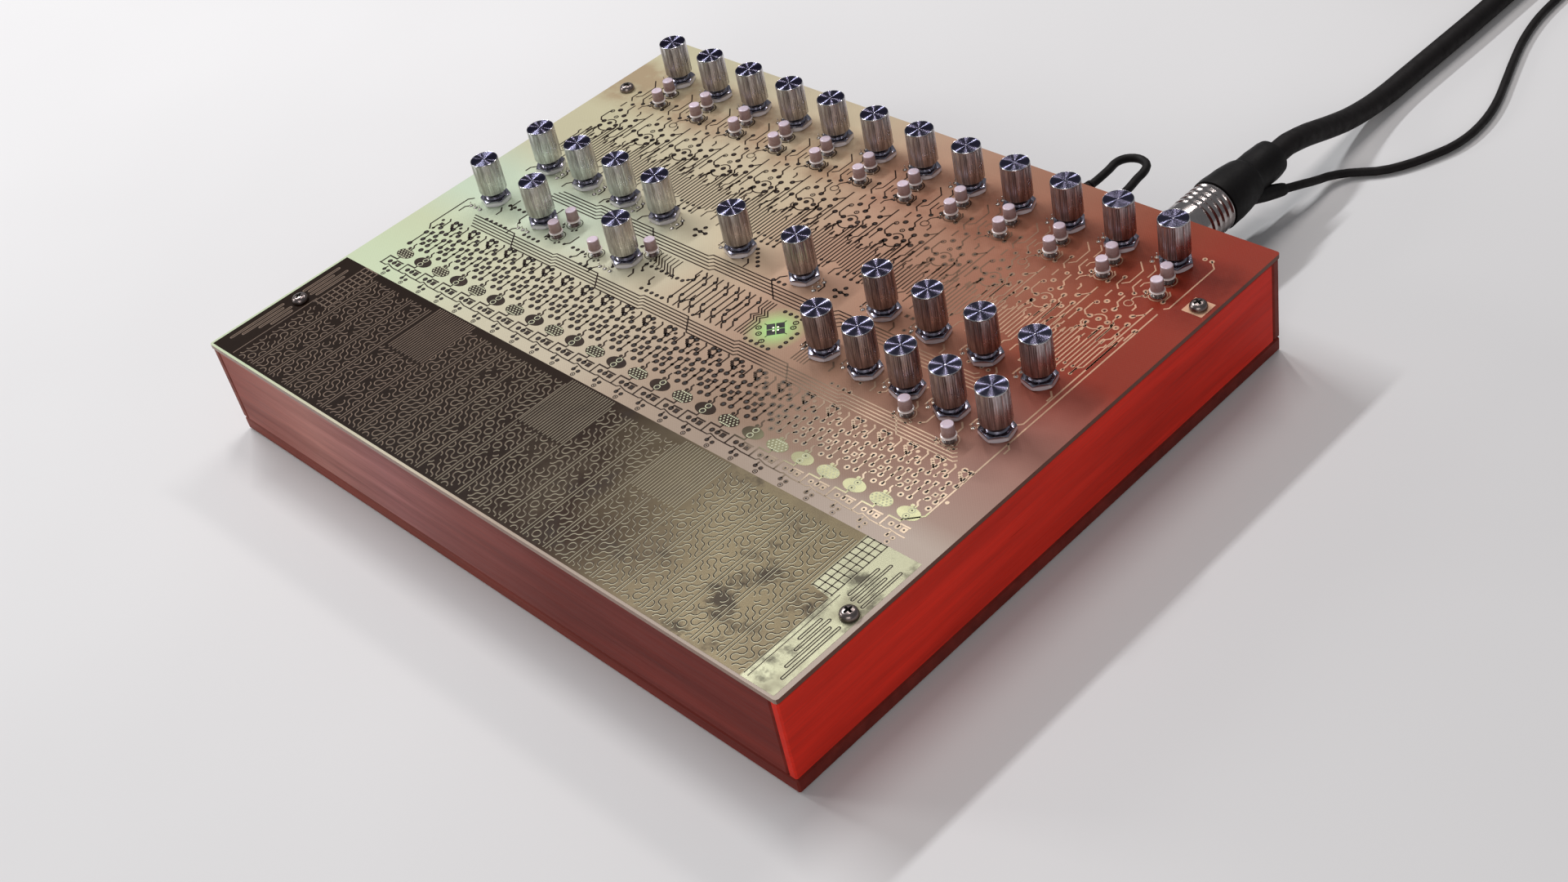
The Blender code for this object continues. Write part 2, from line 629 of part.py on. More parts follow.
# Sockets and plugs at the back
def make_main_socket():
    rim = SOCKET_FLANGE_RADIUS
    edge = EDGE_ROUNDING
    front = SEAT_GAP + SOCKET_FLANGE
    profile = [(0, front), (rim - edge, front), (rim, front - edge), (rim, SEAT_GAP),
               (SOCKET_RADIUS, SEAT_GAP), (SOCKET_RADIUS, -SOCKET_DEPTH), (0, -SOCKET_DEPTH)]
    smooth(turned("main_socket", profile_mesh("main_socket_profile", profile), PLUG_SIDES,
                  socket_metal, (SOCKET_X, BOX_BACK, SOCKET_Z), "Y"))


def make_link_sockets():
    """Two small sockets in one housing behind the back board."""
    front = SEAT_GAP + JACK_NUT_HEIGHT
    inside = -WALL - SEAT_GAP
    profile = [(0, front), (JACK_NUT_RADIUS, front), (JACK_NUT_RADIUS, SEAT_GAP),
               (JACK_RADIUS, SEAT_GAP), (JACK_RADIUS, -JACK_DEPTH), (0, -JACK_DEPTH)]
    mesh = profile_mesh("jack_profile", profile)
    pair = [turned(f"jack_{k}", mesh, JACK_SIDES, None,
                   (LINK_X + k * LINK_SPACING, BOX_BACK, LINK_Z), "Y") for k in range(2)]
    border = JACK_NUT_RADIUS
    housing = slab("link_sockets", (LINK_X - border, BOX_BACK - JACK_DEPTH, LINK_Z - border),
                   (LINK_X + LINK_SPACING + border, BOX_BACK + inside, LINK_Z + border),
                   socket_metal)
    fuse(housing, join("jacks", pair))


def grooved_barrel(length, grooves):
    """Outline of a connector's barrel, from its cable end (at length) to its face."""
    profile = [(0, length), (PLUG_RADIUS, length)]
    for number in range(grooves):
        middle = length - GROOVE_END - number * GROOVE_PITCH
        profile += [(PLUG_RADIUS, middle + GROOVE_WIDTH / 2),
                    (PLUG_RADIUS - GROOVE_DEPTH, middle),
                    (PLUG_RADIUS, middle - GROOVE_WIDTH / 2)]
    return profile + [(PLUG_RADIUS, 0), (0, 0)]


def make_main_plug():
    mesh = profile_mesh("barrel_profile", grooved_barrel(PLUG_LENGTH, GROOVE_COUNT))
    smooth(turned("main_plug", mesh, PLUG_SIDES, nickel, (SOCKET_X, PLUG_START, SOCKET_Z),
                  "Y"))


def make_plug_sleeve():
    """Two layers of shrunk tubing, with the thin cable leaving at the lower right."""
    over = PLUG_RADIUS + SLEEVE_WALL
    layer = SLEEVE_WAIST + SLEEVE_STEP
    shape = zip((SLEEVE_WAIST - SLEEVE_STEP, layer, layer, SLEEVE_WAIST, PLUG_RADIUS, over),
                SLEEVE_STATIONS)
    profile = [(0, SLEEVE_LENGTH), (SLEEVE_END_RADIUS, SLEEVE_LENGTH)]
    profile += [(radius, share * SLEEVE_LENGTH) for radius, share in shape]
    profile += [(over, 0), (0, 0)]
    sleeve = turned("plug_sleeve", profile_mesh("sleeve_profile", profile), PLUG_SIDES,
                    shrink_rubber, (SOCKET_X, SLEEVE_START, SOCKET_Z), "Y")
    branch = post("sleeve_branch", BRANCH_RADIUS, -BRANCH_LENGTH, 0, CAP_SIDES)
    branch.location = THIN_START
    branch.rotation_euler = THIN_DIRECTION.to_track_quat("Z", "Y").to_euler()
    smooth(fuse(sleeve, branch))


def link_boots():
    """The tapered boots moulded on the two ends of the link lead."""
    length = LINK_BOOT_LENGTH
    profile = [(0, length), (LINK_CABLE_RADIUS + SLEEVE_WALL, length),
               (LINK_BOOT_RADIUS, LINK_BOOT_SHOULDER * length), (LINK_BOOT_RADIUS, 0), (0, 0)]
    mesh = profile_mesh("link_boot_profile", profile)
    return join("link_boots", [
        turned(f"boot_{k}", mesh, JACK_SIDES, None,
               (LINK_X + k * LINK_SPACING, LINK_START, LINK_Z), "Y") for k in range(2)])


# Cords
def smooth_path(points, spacing):
    """Points at even steps along a smooth curve through the route's points."""
    route = [Vector(p) for p in points]
    dense = []
    for number in range(len(route) - 1):
        before = route[max(number - 1, 0)]
        start, end = route[number], route[number + 1]
        after = route[min(number + 2, len(route) - 1)]
        reach = (end - start).length / 3
        leave = start + (end - before).normalized() * reach
        arrive = end - (after - start).normalized() * reach
        dense += interpolate_bezier(start, leave, arrive, end, 12)[:-1]
    dense.append(route[-1])
    lengths = [0.0]
    for a, b in zip(dense, dense[1:]):
        lengths.append(lengths[-1] + (b - a).length)
    steps = max(2, round(lengths[-1] / spacing))
    path, cursor = [], 0
    for step in range(steps + 1):
        target = lengths[-1] * step / steps
        while cursor < len(lengths) - 2 and lengths[cursor + 1] < target:
            cursor += 1
        span = lengths[cursor + 1] - lengths[cursor]
        share = (target - lengths[cursor]) / span if span else 0.0
        path.append(dense[cursor].lerp(dense[cursor + 1], share))
    return path


def coil_path(centre, outer_radius, cord_radius, turns, layers, start_angle, turning):
    """Loops that spiral in and out, and climb a layer where the spiral reverses."""
    pitch = layer_height = 2 * cord_radius + COIL_CLEARANCE
    path = []
    total = round(turns * layers * LOOP_POINTS)
    for step in range(total + 1):
        turn = step / LOOP_POINTS
        layer = min(int(turn / turns), layers - 1)
        inward = turn - layer * turns
        depth = inward if layer % 2 == 0 else turns - inward
        rise = 0.0
        for change in range(1, layers):
            share = (turn - change * turns) / 0.5 + 0.5
            share = min(max(share, 0.0), 1.0)
            rise += share * share * (3 - 2 * share)
        angle = start_angle + turning * 2 * math.pi * turn
        radius = outer_radius - pitch * depth
        path.append(centre + Vector((radius * math.cos(angle), radius * math.sin(angle),
                                     rise * layer_height)))
    return path


def path_length(path):
    return sum((b - a).length for a, b in zip(path, path[1:]))


def least_gap(path, cord_radius):
    """The least gap between two stretches of a cord that aren't neighbours."""
    skip = 8 * cord_radius
    least = math.inf
    along = [0.0]
    for a, b in zip(path, path[1:]):
        along.append(along[-1] + (b - a).length)
    for i, a in enumerate(path):
        for j in range(i + 1, len(path)):
            if along[j] - along[i] > skip:
                least = min(least, (path[j] - a).length - 2 * cord_radius)
    return least


def tube(name, path, radius, resolution, material):
    """A cord: one tube of filled ends along a path."""
    curve = bpy.data.curves.new(name, "CURVE")
    curve.dimensions = "3D"
    curve.bevel_depth = radius
    curve.bevel_resolution = resolution
    curve.use_fill_caps = True
    spline = curve.splines.new("POLY")
    spline.points.add(len(path) - 1)
    for point, place in zip(spline.points, path):
        point.co = (*place, 1.0)
    return new_object(name, curve, material)


def from_socket(route):
    """A route's points, which are measured from the foot of the main socket."""
    return [SOCKET_FOOT + Vector(point) for point in route]


def lead_in(coil, cord_radius):
    """Where the straight run begins that brings a cord square into its coil."""
    return coil[0] - Vector((0, 2 * cord_radius, 0))


def make_main_cable():
    spacing = 5 * MAIN_CABLE_RADIUS
    centre = SOCKET_FOOT + Vector((*MAIN_COIL_OFFSET, MAIN_CABLE_RADIUS))
    coil = coil_path(centre, MAIN_COIL_RADIUS, MAIN_CABLE_RADIUS, MAIN_TURNS,
                     MAIN_LAYERS, 0.0, 1)
    start = lead_in(coil, MAIN_CABLE_RADIUS)
    route = [MAIN_EXIT] + smooth_path(from_socket(MAIN_ROUTE) + [start], spacing)
    tail = smooth_path([coil[-1]] + from_socket(MAIN_TAIL), spacing)
    end = tail[-1] - Vector((0, 2 * MAIN_CABLE_RADIUS, 0))
    tail.append(end)
    whole = [start + Vector((0, SEAT_GAP, 0))] + coil[:-1] + tail
    tube("main_cable", route, MAIN_CABLE_RADIUS, 2, cable_rubber)
    tube("main_cable_coil", whole, MAIN_CABLE_RADIUS, 1, cable_rubber)
    print("main cable length", round(path_length(route) + path_length(whole), 3),
          "least gap in its coil", round(least_gap(whole, MAIN_CABLE_RADIUS), 5))
    length = END_BOOT_LENGTH + END_PLUG_LENGTH
    shoulder = END_PLUG_LENGTH + END_BOOT_SHOULDER * END_BOOT_LENGTH
    profile = [(0, length), (MAIN_CABLE_RADIUS + SLEEVE_WALL, length),
               (PLUG_RADIUS - SLEEVE_STEP, shoulder)]
    profile += grooved_barrel(END_PLUG_LENGTH, END_GROOVE_COUNT)[1:]
    place = (end.x, end.y - SEAT_GAP - length, end.z)
    smooth(turned("main_end_plug", profile_mesh("end_plug_profile", profile), PLUG_SIDES,
                  nickel, place, "Y"))


def as_mesh(cord, name):
    """A cord made a mesh, so that a plug can be fused to it."""
    return join(name, [cord], cable_rubber)


def make_thin_cable():
    """The thin cable, with a small moulded plug fused to its far end."""
    spacing = 5 * THIN_CABLE_RADIUS
    centre = SOCKET_FOOT + Vector((*THIN_COIL_OFFSET, THIN_CABLE_RADIUS))
    coil = coil_path(centre, THIN_COIL_RADIUS, THIN_CABLE_RADIUS, THIN_TURNS, THIN_LAYERS,
                     math.pi, -1)
    start = lead_in(coil, THIN_CABLE_RADIUS)
    first = THIN_START + THIN_DIRECTION * SEAT_GAP
    route = [first] + smooth_path(from_socket(THIN_ROUTE) + [start], spacing)
    tail = smooth_path([coil[-1]] + from_socket(THIN_TAIL), spacing)
    whole = [start + Vector((0, SEAT_GAP, 0))] + coil[:-1] + tail
    tube("thin_cable", route, THIN_CABLE_RADIUS, 2, cable_rubber)
    loops = as_mesh(tube("thin_loops", whole, THIN_CABLE_RADIUS, 1, cable_rubber),
                    "thin_cable_coil")
    length = THIN_PLUG_LENGTH
    profile = [(0, length), (THIN_CABLE_RADIUS + SLEEVE_WALL, length),
               (THIN_PLUG_RADIUS - SLEEVE_STEP, length - THIN_BOOT_LENGTH),
               (THIN_PLUG_RADIUS, length - THIN_BOOT_LENGTH - SLEEVE_STEP),
               (THIN_PLUG_RADIUS, 0), (0, 0)]
    plug = turned("thin_plug", profile_mesh("thin_plug_profile", profile), JACK_SIDES, None,
                  tail[-1] - Vector((0, length - THIN_BOOT_LENGTH, 0)), "Y")
    fuse(loops, plug)
    print("thin cable length", round(path_length(route) + path_length(whole), 3),
          "least gap in its coil", round(least_gap(whole, THIN_CABLE_RADIUS), 5))


def make_link_lead():
    """A short lead between two small moulded plugs, bowed back and a little down."""
    path = smooth_path([LINK_FOOT + Vector(point) for point in LINK_ROUTE],
                       2 * LINK_CABLE_RADIUS)
    lead = as_mesh(tube("link_cord", path, LINK_CABLE_RADIUS, 2, cable_rubber), "link_lead")
    fuse(lead, link_boots())
    print("link lead length", round(path_length(path), 3))


clear_scene()
parts = make_collection("polyphonic_synthesizer")
cutters = make_collection("cutters")

wood = make_material("red_brown_wood", (0.20, 0.055, 0.030), 0.50)
base_wood = make_material("dark_base_wood", (0.11, 0.030, 0.020), 0.55)
cleat_wood = make_material("inner_wood", (0.45, 0.30, 0.17), 0.70)
laminate = make_material("glass_fibre_laminate", (0.62, 0.60, 0.42), 0.40)
aluminium = make_material("turned_aluminium", (0.72, 0.70, 0.68), 0.28, 1.0)
nickel = make_material("plug_nickel", (0.62, 0.58, 0.55), 0.22, 1.0)
socket_metal = make_material("socket_metal", (0.35, 0.35, 0.36), 0.35, 1.0)
screw_steel = make_material("screw_steel", (0.50, 0.46, 0.42), 0.30, 1.0)
pot_shell = make_material("pot_shell", (0.55, 0.55, 0.52), 0.40, 1.0)
cap_plastic = make_material("cap_plastic", (0.78, 0.74, 0.74), 0.30)
chip_plastic = make_material("chip_plastic", (0.025, 0.025, 0.028), 0.50)
shrink_rubber = make_material("shrunk_tubing", (0.02, 0.018, 0.018), 0.55)
cable_rubber = make_material("cable_jacket", (0.03, 0.028, 0.028), 0.50)

make_box()
make_cleats()
make_panel()
make_screws()
make_potentiometers()
make_circuit_parts()
make_knobs()
make_buttons()
make_main_socket()
make_link_sockets()
make_main_plug()
make_plug_sleeve()
make_main_cable()
make_thin_cable()
make_link_lead()
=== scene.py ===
import math
import random

import bmesh
import bpy
from mathutils import Matrix, Vector
from mathutils.geometry import interpolate_bezier


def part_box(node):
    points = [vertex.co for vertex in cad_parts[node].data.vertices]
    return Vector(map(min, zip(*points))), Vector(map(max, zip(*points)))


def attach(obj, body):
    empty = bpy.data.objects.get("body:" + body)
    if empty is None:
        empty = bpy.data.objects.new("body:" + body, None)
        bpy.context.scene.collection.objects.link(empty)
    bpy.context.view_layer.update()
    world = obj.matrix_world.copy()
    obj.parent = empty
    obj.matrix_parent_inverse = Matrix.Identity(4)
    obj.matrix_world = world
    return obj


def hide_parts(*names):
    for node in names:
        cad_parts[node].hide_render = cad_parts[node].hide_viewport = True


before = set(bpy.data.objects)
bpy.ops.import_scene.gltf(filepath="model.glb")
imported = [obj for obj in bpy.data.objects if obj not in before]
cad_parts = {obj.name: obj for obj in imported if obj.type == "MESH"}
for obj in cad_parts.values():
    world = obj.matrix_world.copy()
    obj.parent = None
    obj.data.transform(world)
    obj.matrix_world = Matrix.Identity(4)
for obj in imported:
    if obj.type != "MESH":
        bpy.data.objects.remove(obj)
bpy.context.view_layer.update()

MM = 0.001
CASE = "case"

# Places read from the frame
panel_low, panel_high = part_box("panel_board")
TOP = panel_high.z
KEY_COUNT = 24
VOICE_COUNT = 12
KNOBS = sorted(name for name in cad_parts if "_knob_" in name)


# Heights above the panel's top of the parts that stand on it
SHAFT_FOOT, SHAFT_RADIUS = 3.5 * MM, 3.0 * MM
NUT_TOP, NUT_FLATS, BUSHING_RADIUS = 2.3 * MM, 9.7 * MM, 3.5 * MM
CAP_FOOT, CAP_TOP, CAP_RADIUS, CAP_FLANGE = 1.8 * MM, 6.2 * MM, 2.0 * MM, 2.45 * MM
PLUNGER_FOOT = -3.0 * MM
SCREW_RADIUS, SCREW_TOP = 2.8 * MM, 2.3 * MM
LAMP = Vector((27.0, -0.5)) * MM


def middle_of(node):
    low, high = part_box(node)
    return (low + high) / 2


knob_places = {name: Vector((*middle_of(name).xy, TOP)) for name in KNOBS}
voice_knobs = [knob_places[f"voice_knob_{k + 1:02d}"] for k in range(VOICE_COUNT)]
VOICE_PITCH = (voice_knobs[-1].x - voice_knobs[0].x) / (VOICE_COUNT - 1)
KEY_PITCH = VOICE_PITCH / 2


# Camera and light
CAMERA_PLACE = Vector((0.4109, -0.2974, 0.3939))
CAMERA_FORWARD = Vector((-0.6147, 0.4648, -0.6373))
CAMERA_RIGHT = Vector((0.7020, 0.6908, -0.1732))
CAMERA_LENS = 44.79
SENSOR_WIDTH = 36.0
LAMP_TARGET = Vector((0.0, 0.0, 0.03))


def make_camera():
    """The photograph's view, rolled about its own axis as the photograph is."""
    forward = CAMERA_FORWARD.normalized()
    right = (CAMERA_RIGHT - CAMERA_RIGHT.dot(forward) * forward).normalized()
    up = right.cross(forward)
    data = bpy.data.cameras.new("camera")
    data.lens = CAMERA_LENS
    data.sensor_width = SENSOR_WIDTH
    data.clip_start = 0.01
    camera = bpy.data.objects.new("camera", data)
    turn = Matrix((right, up, -forward)).transposed()
    camera.matrix_world = Matrix.Translation(CAMERA_PLACE) @ turn.to_4x4()
    bpy.context.scene.collection.objects.link(camera)
    bpy.context.scene.camera = camera


def make_lamp(name, toward, distance, size, power, colour, streak=None):
    """A soft box. Its long side can lie so that turned faces streak in one direction."""
    data = bpy.data.lights.new(name, "AREA")
    data.shape = "RECTANGLE"
    data.size, data.size_y = size
    data.energy = power
    data.color = colour
    lamp = bpy.data.objects.new(name, data)
    toward = Vector(toward).normalized()
    along = Vector(streak or (0, 0, 1))
    along = (along - along.dot(toward) * toward).normalized()
    turn = Matrix((along.cross(toward), along, toward)).transposed()
    place = LAMP_TARGET + toward * distance
    lamp.matrix_world = Matrix.Translation(place) @ turn.to_4x4()
    bpy.context.scene.collection.objects.link(lamp)


# Shader maths
class Wire:
    """A socket of a finish, so that shader maths reads as an expression."""

    def __init__(self, finish, socket):
        self.finish, self.socket = finish, socket

    def math(self, operation, *others):
        return self.finish.maths(operation, self, *others)

    def __add__(self, other):
        return self.finish.maths("ADD", self, other)

    def __radd__(self, other):
        return self.finish.maths("ADD", other, self)

    def __sub__(self, other):
        return self.finish.maths("SUBTRACT", self, other)

    def __rsub__(self, other):
        return self.finish.maths("SUBTRACT", other, self)

    def __mul__(self, other):
        return self.finish.maths("MULTIPLY", self, other)

    def __rmul__(self, other):
        return self.finish.maths("MULTIPLY", other, self)

    def __truediv__(self, other):
        return self.finish.maths("DIVIDE", self, other)

    def __pow__(self, other):
        return self.finish.maths("POWER", self, other)


class Finish:
    """A material, and the nodes that vary it over a surface."""

    def __init__(self, name, values):
        self.material = bpy.data.materials.new(name)
        self.material.use_nodes = True
        self.tree = self.material.node_tree
        self.shader = self.tree.nodes["Principled BSDF"]
        self.place = self.node("ShaderNodeTexCoord", output="Object")
        self.set(values)

    def feed(self, socket, value):
        if isinstance(value, Wire):
            self.tree.links.new(value.socket, socket)
        elif hasattr(socket.default_value, "__len__") and len(socket.default_value) == 4:
            socket.default_value = (*value[:3], 1.0)
        else:
            socket.default_value = value

    def node(self, kind, settings=None, inputs=None, output=0):
        node = self.tree.nodes.new(kind)
        for key, value in (settings or {}).items():
            if key == "stops":
                ramp = node.color_ramp
                while len(ramp.elements) < len(value):
                    ramp.elements.new(1.0)
                for element, (position, colour) in zip(ramp.elements, value):
                    element.position = position
                    element.color = (*colour, 1.0)
            else:
                setattr(node, key, value)
        for key, value in (inputs or {}).items():
            self.feed(node.inputs[key], value)
        return Wire(self, node.outputs[output])

    def set(self, values):
        for key, value in values.items():
            self.feed(self.shader.inputs[key], value)

    def maths(self, operation, *values):
        return self.node("ShaderNodeMath", {"operation": operation}, dict(enumerate(values)))

    def vector(self, operation, *values, output=0):
        return self.node("ShaderNodeVectorMath", {"operation": operation},
                         dict(enumerate(values)), output)

    def mix(self, factor, first, second):
        return self.node("ShaderNodeMix", {"data_type": "RGBA"},
                         {0: factor, 6: first, 7: second}, 2)

    def stretched(self, scale):
        return self.vector("MULTIPLY", self.place, scale)

    def axis(self, letter):
        return self.node("ShaderNodeSeparateXYZ", inputs={0: self.place}, output=letter)

    def noise(self, scale, detail=4.0, roughness=0.55, vector=None):
        return self.node("ShaderNodeTexNoise", inputs={
            "Vector": vector or self.place, "Scale": scale, "Detail": detail,
            "Roughness": roughness})

    def ramp(self, value, stops):
        return self.node("ShaderNodeValToRGB", {"stops": stops}, {0: value})

    def spread(self, value, low, high, start=0.0, end=1.0):
        return self.node("ShaderNodeMapRange", {"clamp": True}, {
            "Value": value, "From Min": low, "From Max": high, "To Min": start,
            "To Max": end})

    def bump(self, height, distance, strength=1.0):
        normal = self.node("ShaderNodeBump", inputs={
            "Strength": strength, "Distance": distance, "Height": height})
        self.set({"Normal": normal})


def wood_finish(name, dark, light, along, painted_light_tones=None):
    """Oiled reddish wood, with its grain along one axis. A ramp along X can paint light and shade over
    its colour.
    """
    finish = Finish(name, {"Specular IOR Level": 0.08, "Coat Weight": 0.03,
                           "Coat Roughness": 0.35})
    scale = {"X": (9, 160, 160), "Y": (160, 9, 160)}[along]
    fine = {"X": (40, 1400, 1400), "Y": (1400, 40, 1400)}[along]
    bands = finish.noise(1.0, 5.0, 0.62, finish.stretched(scale))
    fibres = finish.noise(1.0, 3.0, 0.7, finish.stretched(fine))
    tone = finish.spread(bands * 0.7 + fibres * 0.3, 0.32, 0.68)
    broad = finish.spread(finish.noise(7.0, 2.0), 0.35, 0.65)
    grain = finish.mix(tone, dark, light)
    flecks = finish.spread(fibres, 0.62, 0.75, 0.0, 0.55)
    stained = finish.mix(flecks, grain, tuple(c * 0.35 for c in dark))
    worn_and_lit = finish.mix(broad * 0.22, stained, tuple(c * 1.35 for c in light))
    # Painted light and shade: the colour is multiplied by a ramp along X.
    if painted_light_tones:
        place = finish.spread(finish.axis("X"), -0.135, 0.135)
        worn_and_lit = finish.vector("MULTIPLY", worn_and_lit, finish.ramp(place, painted_light_tones))
    finish.set({"Base Color": worn_and_lit,
                "Roughness": finish.spread(fibres, 0.3, 0.7, 0.42, 0.6)})
    finish.bump(fibres * 0.7 + bands * 0.3, 0.00006)
    return finish.material


def laminate_finish():
    """Bare glass-fibre board, with painted light across it: pale green on the left, and a warm brown on
    the right, red towards the back.
    """
    finish = Finish("bare_laminate", {"Specular IOR Level": 0.10, "Coat Roughness": 0.25})
    across, along = finish.axis("X"), finish.axis("Y")
    thread = 2 * math.pi / (0.9 * MM)
    weave = (across * thread).math("SINE") * (along * thread).math("SINE")
    clouds = finish.spread(finish.noise(11.0, 4.0), 0.3, 0.7)
    place = finish.spread(across + (finish.noise(9.0, 2.0) - 0.5) * 0.04, -0.13, 0.13)
    stops = (0.04, 0.23, 0.41, 0.54, 0.69, 0.89, 0.985)
    # front and rear ramps: painted coloured light, cool green on the left, warm brown on the right and
    # deep red at the back right.
    front = finish.ramp(place, list(zip(stops, (
        (0.520, 0.600, 0.400), (0.550, 0.515, 0.370), (0.505, 0.430, 0.315),
        (0.390, 0.290, 0.210), (0.285, 0.192, 0.133), (0.320, 0.225, 0.175),
        (0.410, 0.300, 0.250)))))
    rear = finish.ramp(place, list(zip(stops, (
        (0.520, 0.480, 0.320), (0.548, 0.475, 0.334), (0.560, 0.457, 0.314),
        (0.480, 0.300, 0.208), (0.380, 0.190, 0.124), (0.270, 0.056, 0.028),
        (0.275, 0.032, 0.016)))))
    board = finish.mix(finish.spread(along, -0.045, 0.030), front, rear)
    pale = finish.spread(across, 0.0, 0.10, 0.05, 0.42) * finish.spread(along, -0.038, -0.047)
    board = finish.mix(pale, board, (0.62, 0.55, 0.48))
    # Painted light: a cool green-blue pool in the middle band on the left.
    painted_cool_light = finish.spread(along, -0.022, -0.002) * finish.spread(along, 0.036, 0.014)
    painted_cool_light = painted_cool_light * finish.spread(across, -0.015, -0.075, 0.0, 0.6)
    board = finish.mix(painted_cool_light, board, (0.50, 0.64, 0.52))
    facing = finish.node("ShaderNodeNewGeometry", output="Normal")
    turned = finish.node("ShaderNodeSeparateXYZ", inputs={0: facing}, output="Z")
    board = finish.mix(finish.spread(turned, 0.9, 0.3), board, (0.330, 0.235, 0.195))
    # Painted shade: the edges that face +X are darker.
    outer = finish.node("ShaderNodeSeparateXYZ", inputs={0: facing}, output="X")
    board = finish.mix(finish.spread(outer, 0.3, 0.9), board, (0.150, 0.066, 0.050))
    shade = finish.vector("MULTIPLY", board, (0.80, 0.78, 0.74))
    board = finish.mix(finish.spread(weave, -1, 1, 0.0, 0.25), board, shade)
    board = finish.mix(clouds * 0.35, board, shade)
    smears = finish.spread(finish.noise(26.0, 6.0, 0.7), 0.58, 0.76, 0.0, 0.7)
    board = finish.mix(smears, board, shade)
    # A darker, browner band across the rear row: partly flux stains round the solder joints, partly
    # painted shadow of the knobs.
    soldered = finish.spread(along, 0.060, 0.070) * finish.spread(along, 0.099, 0.090)
    flux_and_shadow = finish.spread(finish.noise(75.0, 4.0, 0.6), 0.36, 0.60, 0.15, 0.70) * soldered
    board = finish.mix(flux_and_shadow, board, finish.vector("MULTIPLY", board, (0.60, 0.42, 0.36)))
    distance = finish.vector("DISTANCE", finish.place, (*LAMP, TOP), output="Value")
    glow = finish.spread(distance, 0.0110, 0.0010) ** 1.3
    board = finish.mix(glow * 0.6, board, (0.20, 0.40, 0.14))
    finish.set({"Base Color": board,
                "Emission Color": finish.mix(glow, (0, 0, 0), (0.16, 0.56, 0.13)),
                "Emission Strength": 0.75,
                "Coat Weight": finish.spread(across, 0.02, 0.10, 0.22, 0.0),
                "Roughness": finish.spread(clouds + smears, 0.0, 1.2, 0.34, 0.5)})
    finish.bump(weave + finish.noise(700.0, 2.0) * 0.6, 0.000012)
    return finish.material


def copper_left_to_right(finish, left, middle, right, bright, lag=0.0):
    """Copper that is dark on the left and bright on the right."""
    across = finish.axis("X") + (finish.noise(22.0, 4.0) - 0.5) * 0.055 - lag
    half = finish.mix(finish.spread(across, -0.085, 0.045), left, middle)
    return finish.mix(finish.spread(across, *bright), half, right)


def track_finish():
    finish = Finish("track_copper", {"Specular IOR Level": 0.08})
    along = finish.axis("Y")
    keys = finish.spread(along, -0.0435, -0.0430) * finish.spread(along, -0.0360, -0.0365)
    bright = finish.mix(keys, (0.750, 0.590, 0.430), (0.650, 0.640, 0.375))
    lag = finish.spread(along, -0.016, -0.036, 0.0, 0.015)
    lag = lag + finish.spread(along, -0.044, -0.050, 0.0, 0.026)
    base = copper_left_to_right(finish, (0.022, 0.012, 0.008), (0.030, 0.016, 0.010), bright,
                   (0.036, 0.088), lag)
    # Painted red light and shade: the copper turns darker and redder towards the back.
    rear = finish.spread(along, -0.036, 0.012, 0.0, 0.80)
    base = finish.mix(rear, base, finish.vector("MULTIPLY", base, (0.62, 0.40, 0.34)))
    spots = finish.spread(finish.noise(190.0, 3.0), 0.45, 0.75, 0.0, 0.3)
    finish.set({"Base Color": finish.mix(spots, base, (0.075, 0.046, 0.032)),
                "Metallic": finish.spread(finish.axis("X"), 0.04, 0.08, 0.05, 0.30),
                "Roughness": finish.spread(finish.noise(90.0), 0.3, 0.7, 0.35, 0.5)})
    return finish.material


def plate_finish():
    """The touch plate's copper, with finger marks and dark stains."""
    finish = Finish("plate_copper", {"Specular IOR Level": 0.03})
    across = finish.axis("X")
    base = copper_left_to_right(finish, (0.014, 0.007, 0.004), (0.026, 0.015, 0.010),
                   (0.162, 0.130, 0.080), (0.022, 0.075),
                   finish.spread(finish.axis("Y"), -0.066, -0.095, 0.0, 0.022))
    edge = finish.spread(finish.axis("Y"), -0.0755, -0.0745, 0.1208, 0.1132)
    base = finish.mix(finish.spread(across - edge, 0, 0.0008), base, (0.37, 0.365, 0.25))
    handled = finish.spread(across, -0.02, 0.05, 0.05, 0.85)
    marks = finish.spread(finish.noise(30.0, 5.0, 0.65), 0.50, 0.70) * handled
    stains = finish.spread(finish.noise(48.0, 5.0, 0.7), 0.55, 0.66) * handled
    base = finish.mix(marks, base, (0.100, 0.078, 0.054))
    base = finish.mix(stains, base, (0.042, 0.033, 0.028))
    finish.set({"Base Color": base,
                "Metallic": finish.spread(across, 0.0, 0.08, 0.0, 0.70),
                "Roughness": finish.spread(marks + stains, 0.0, 1.0, 0.40, 0.55)})
    finish.bump(finish.noise(60.0, 2.0), 0.00002)
    return finish.material


def gap_finish(name, left, right):
    """The lines between the plate's electrodes, and the painted light and shade along their edges."""
    finish = Finish(name, {"Roughness": 0.5, "Specular IOR Level": 0.1})
    shade = finish.mix(finish.spread(finish.axis("X"), -0.06, 0.09), left, right)
    specks = finish.spread(finish.noise(160.0), 0.4, 0.7, 0.0, 0.5)
    darker = finish.vector("SCALE", shade)
    finish.feed(darker.socket.node.inputs["Scale"], 0.6)
    finish.set({"Base Color": finish.mix(specks, shade, darker)})
    return finish.material


def plain_finish(name, colour, roughness, metallic=0.0, spot=0.6, scale=300.0, depth=0.00001,
                 **more):
    """A finish whose colour and gloss vary a little over the surface."""
    finish = Finish(name, {"Metallic": metallic})
    finish.set({key.replace("_", " "): value for key, value in more.items()})
    marks = finish.spread(finish.noise(scale, 4.0, 0.6), 0.35, 0.75)
    darker = tuple(c * spot for c in colour)
    finish.set({"Base Color": finish.mix(marks, colour, darker),
                "Roughness": finish.spread(marks, 0, 1, roughness, roughness * 1.5)})
    finish.bump(finish.noise(scale * 6, 2.0), depth)
    return finish.material


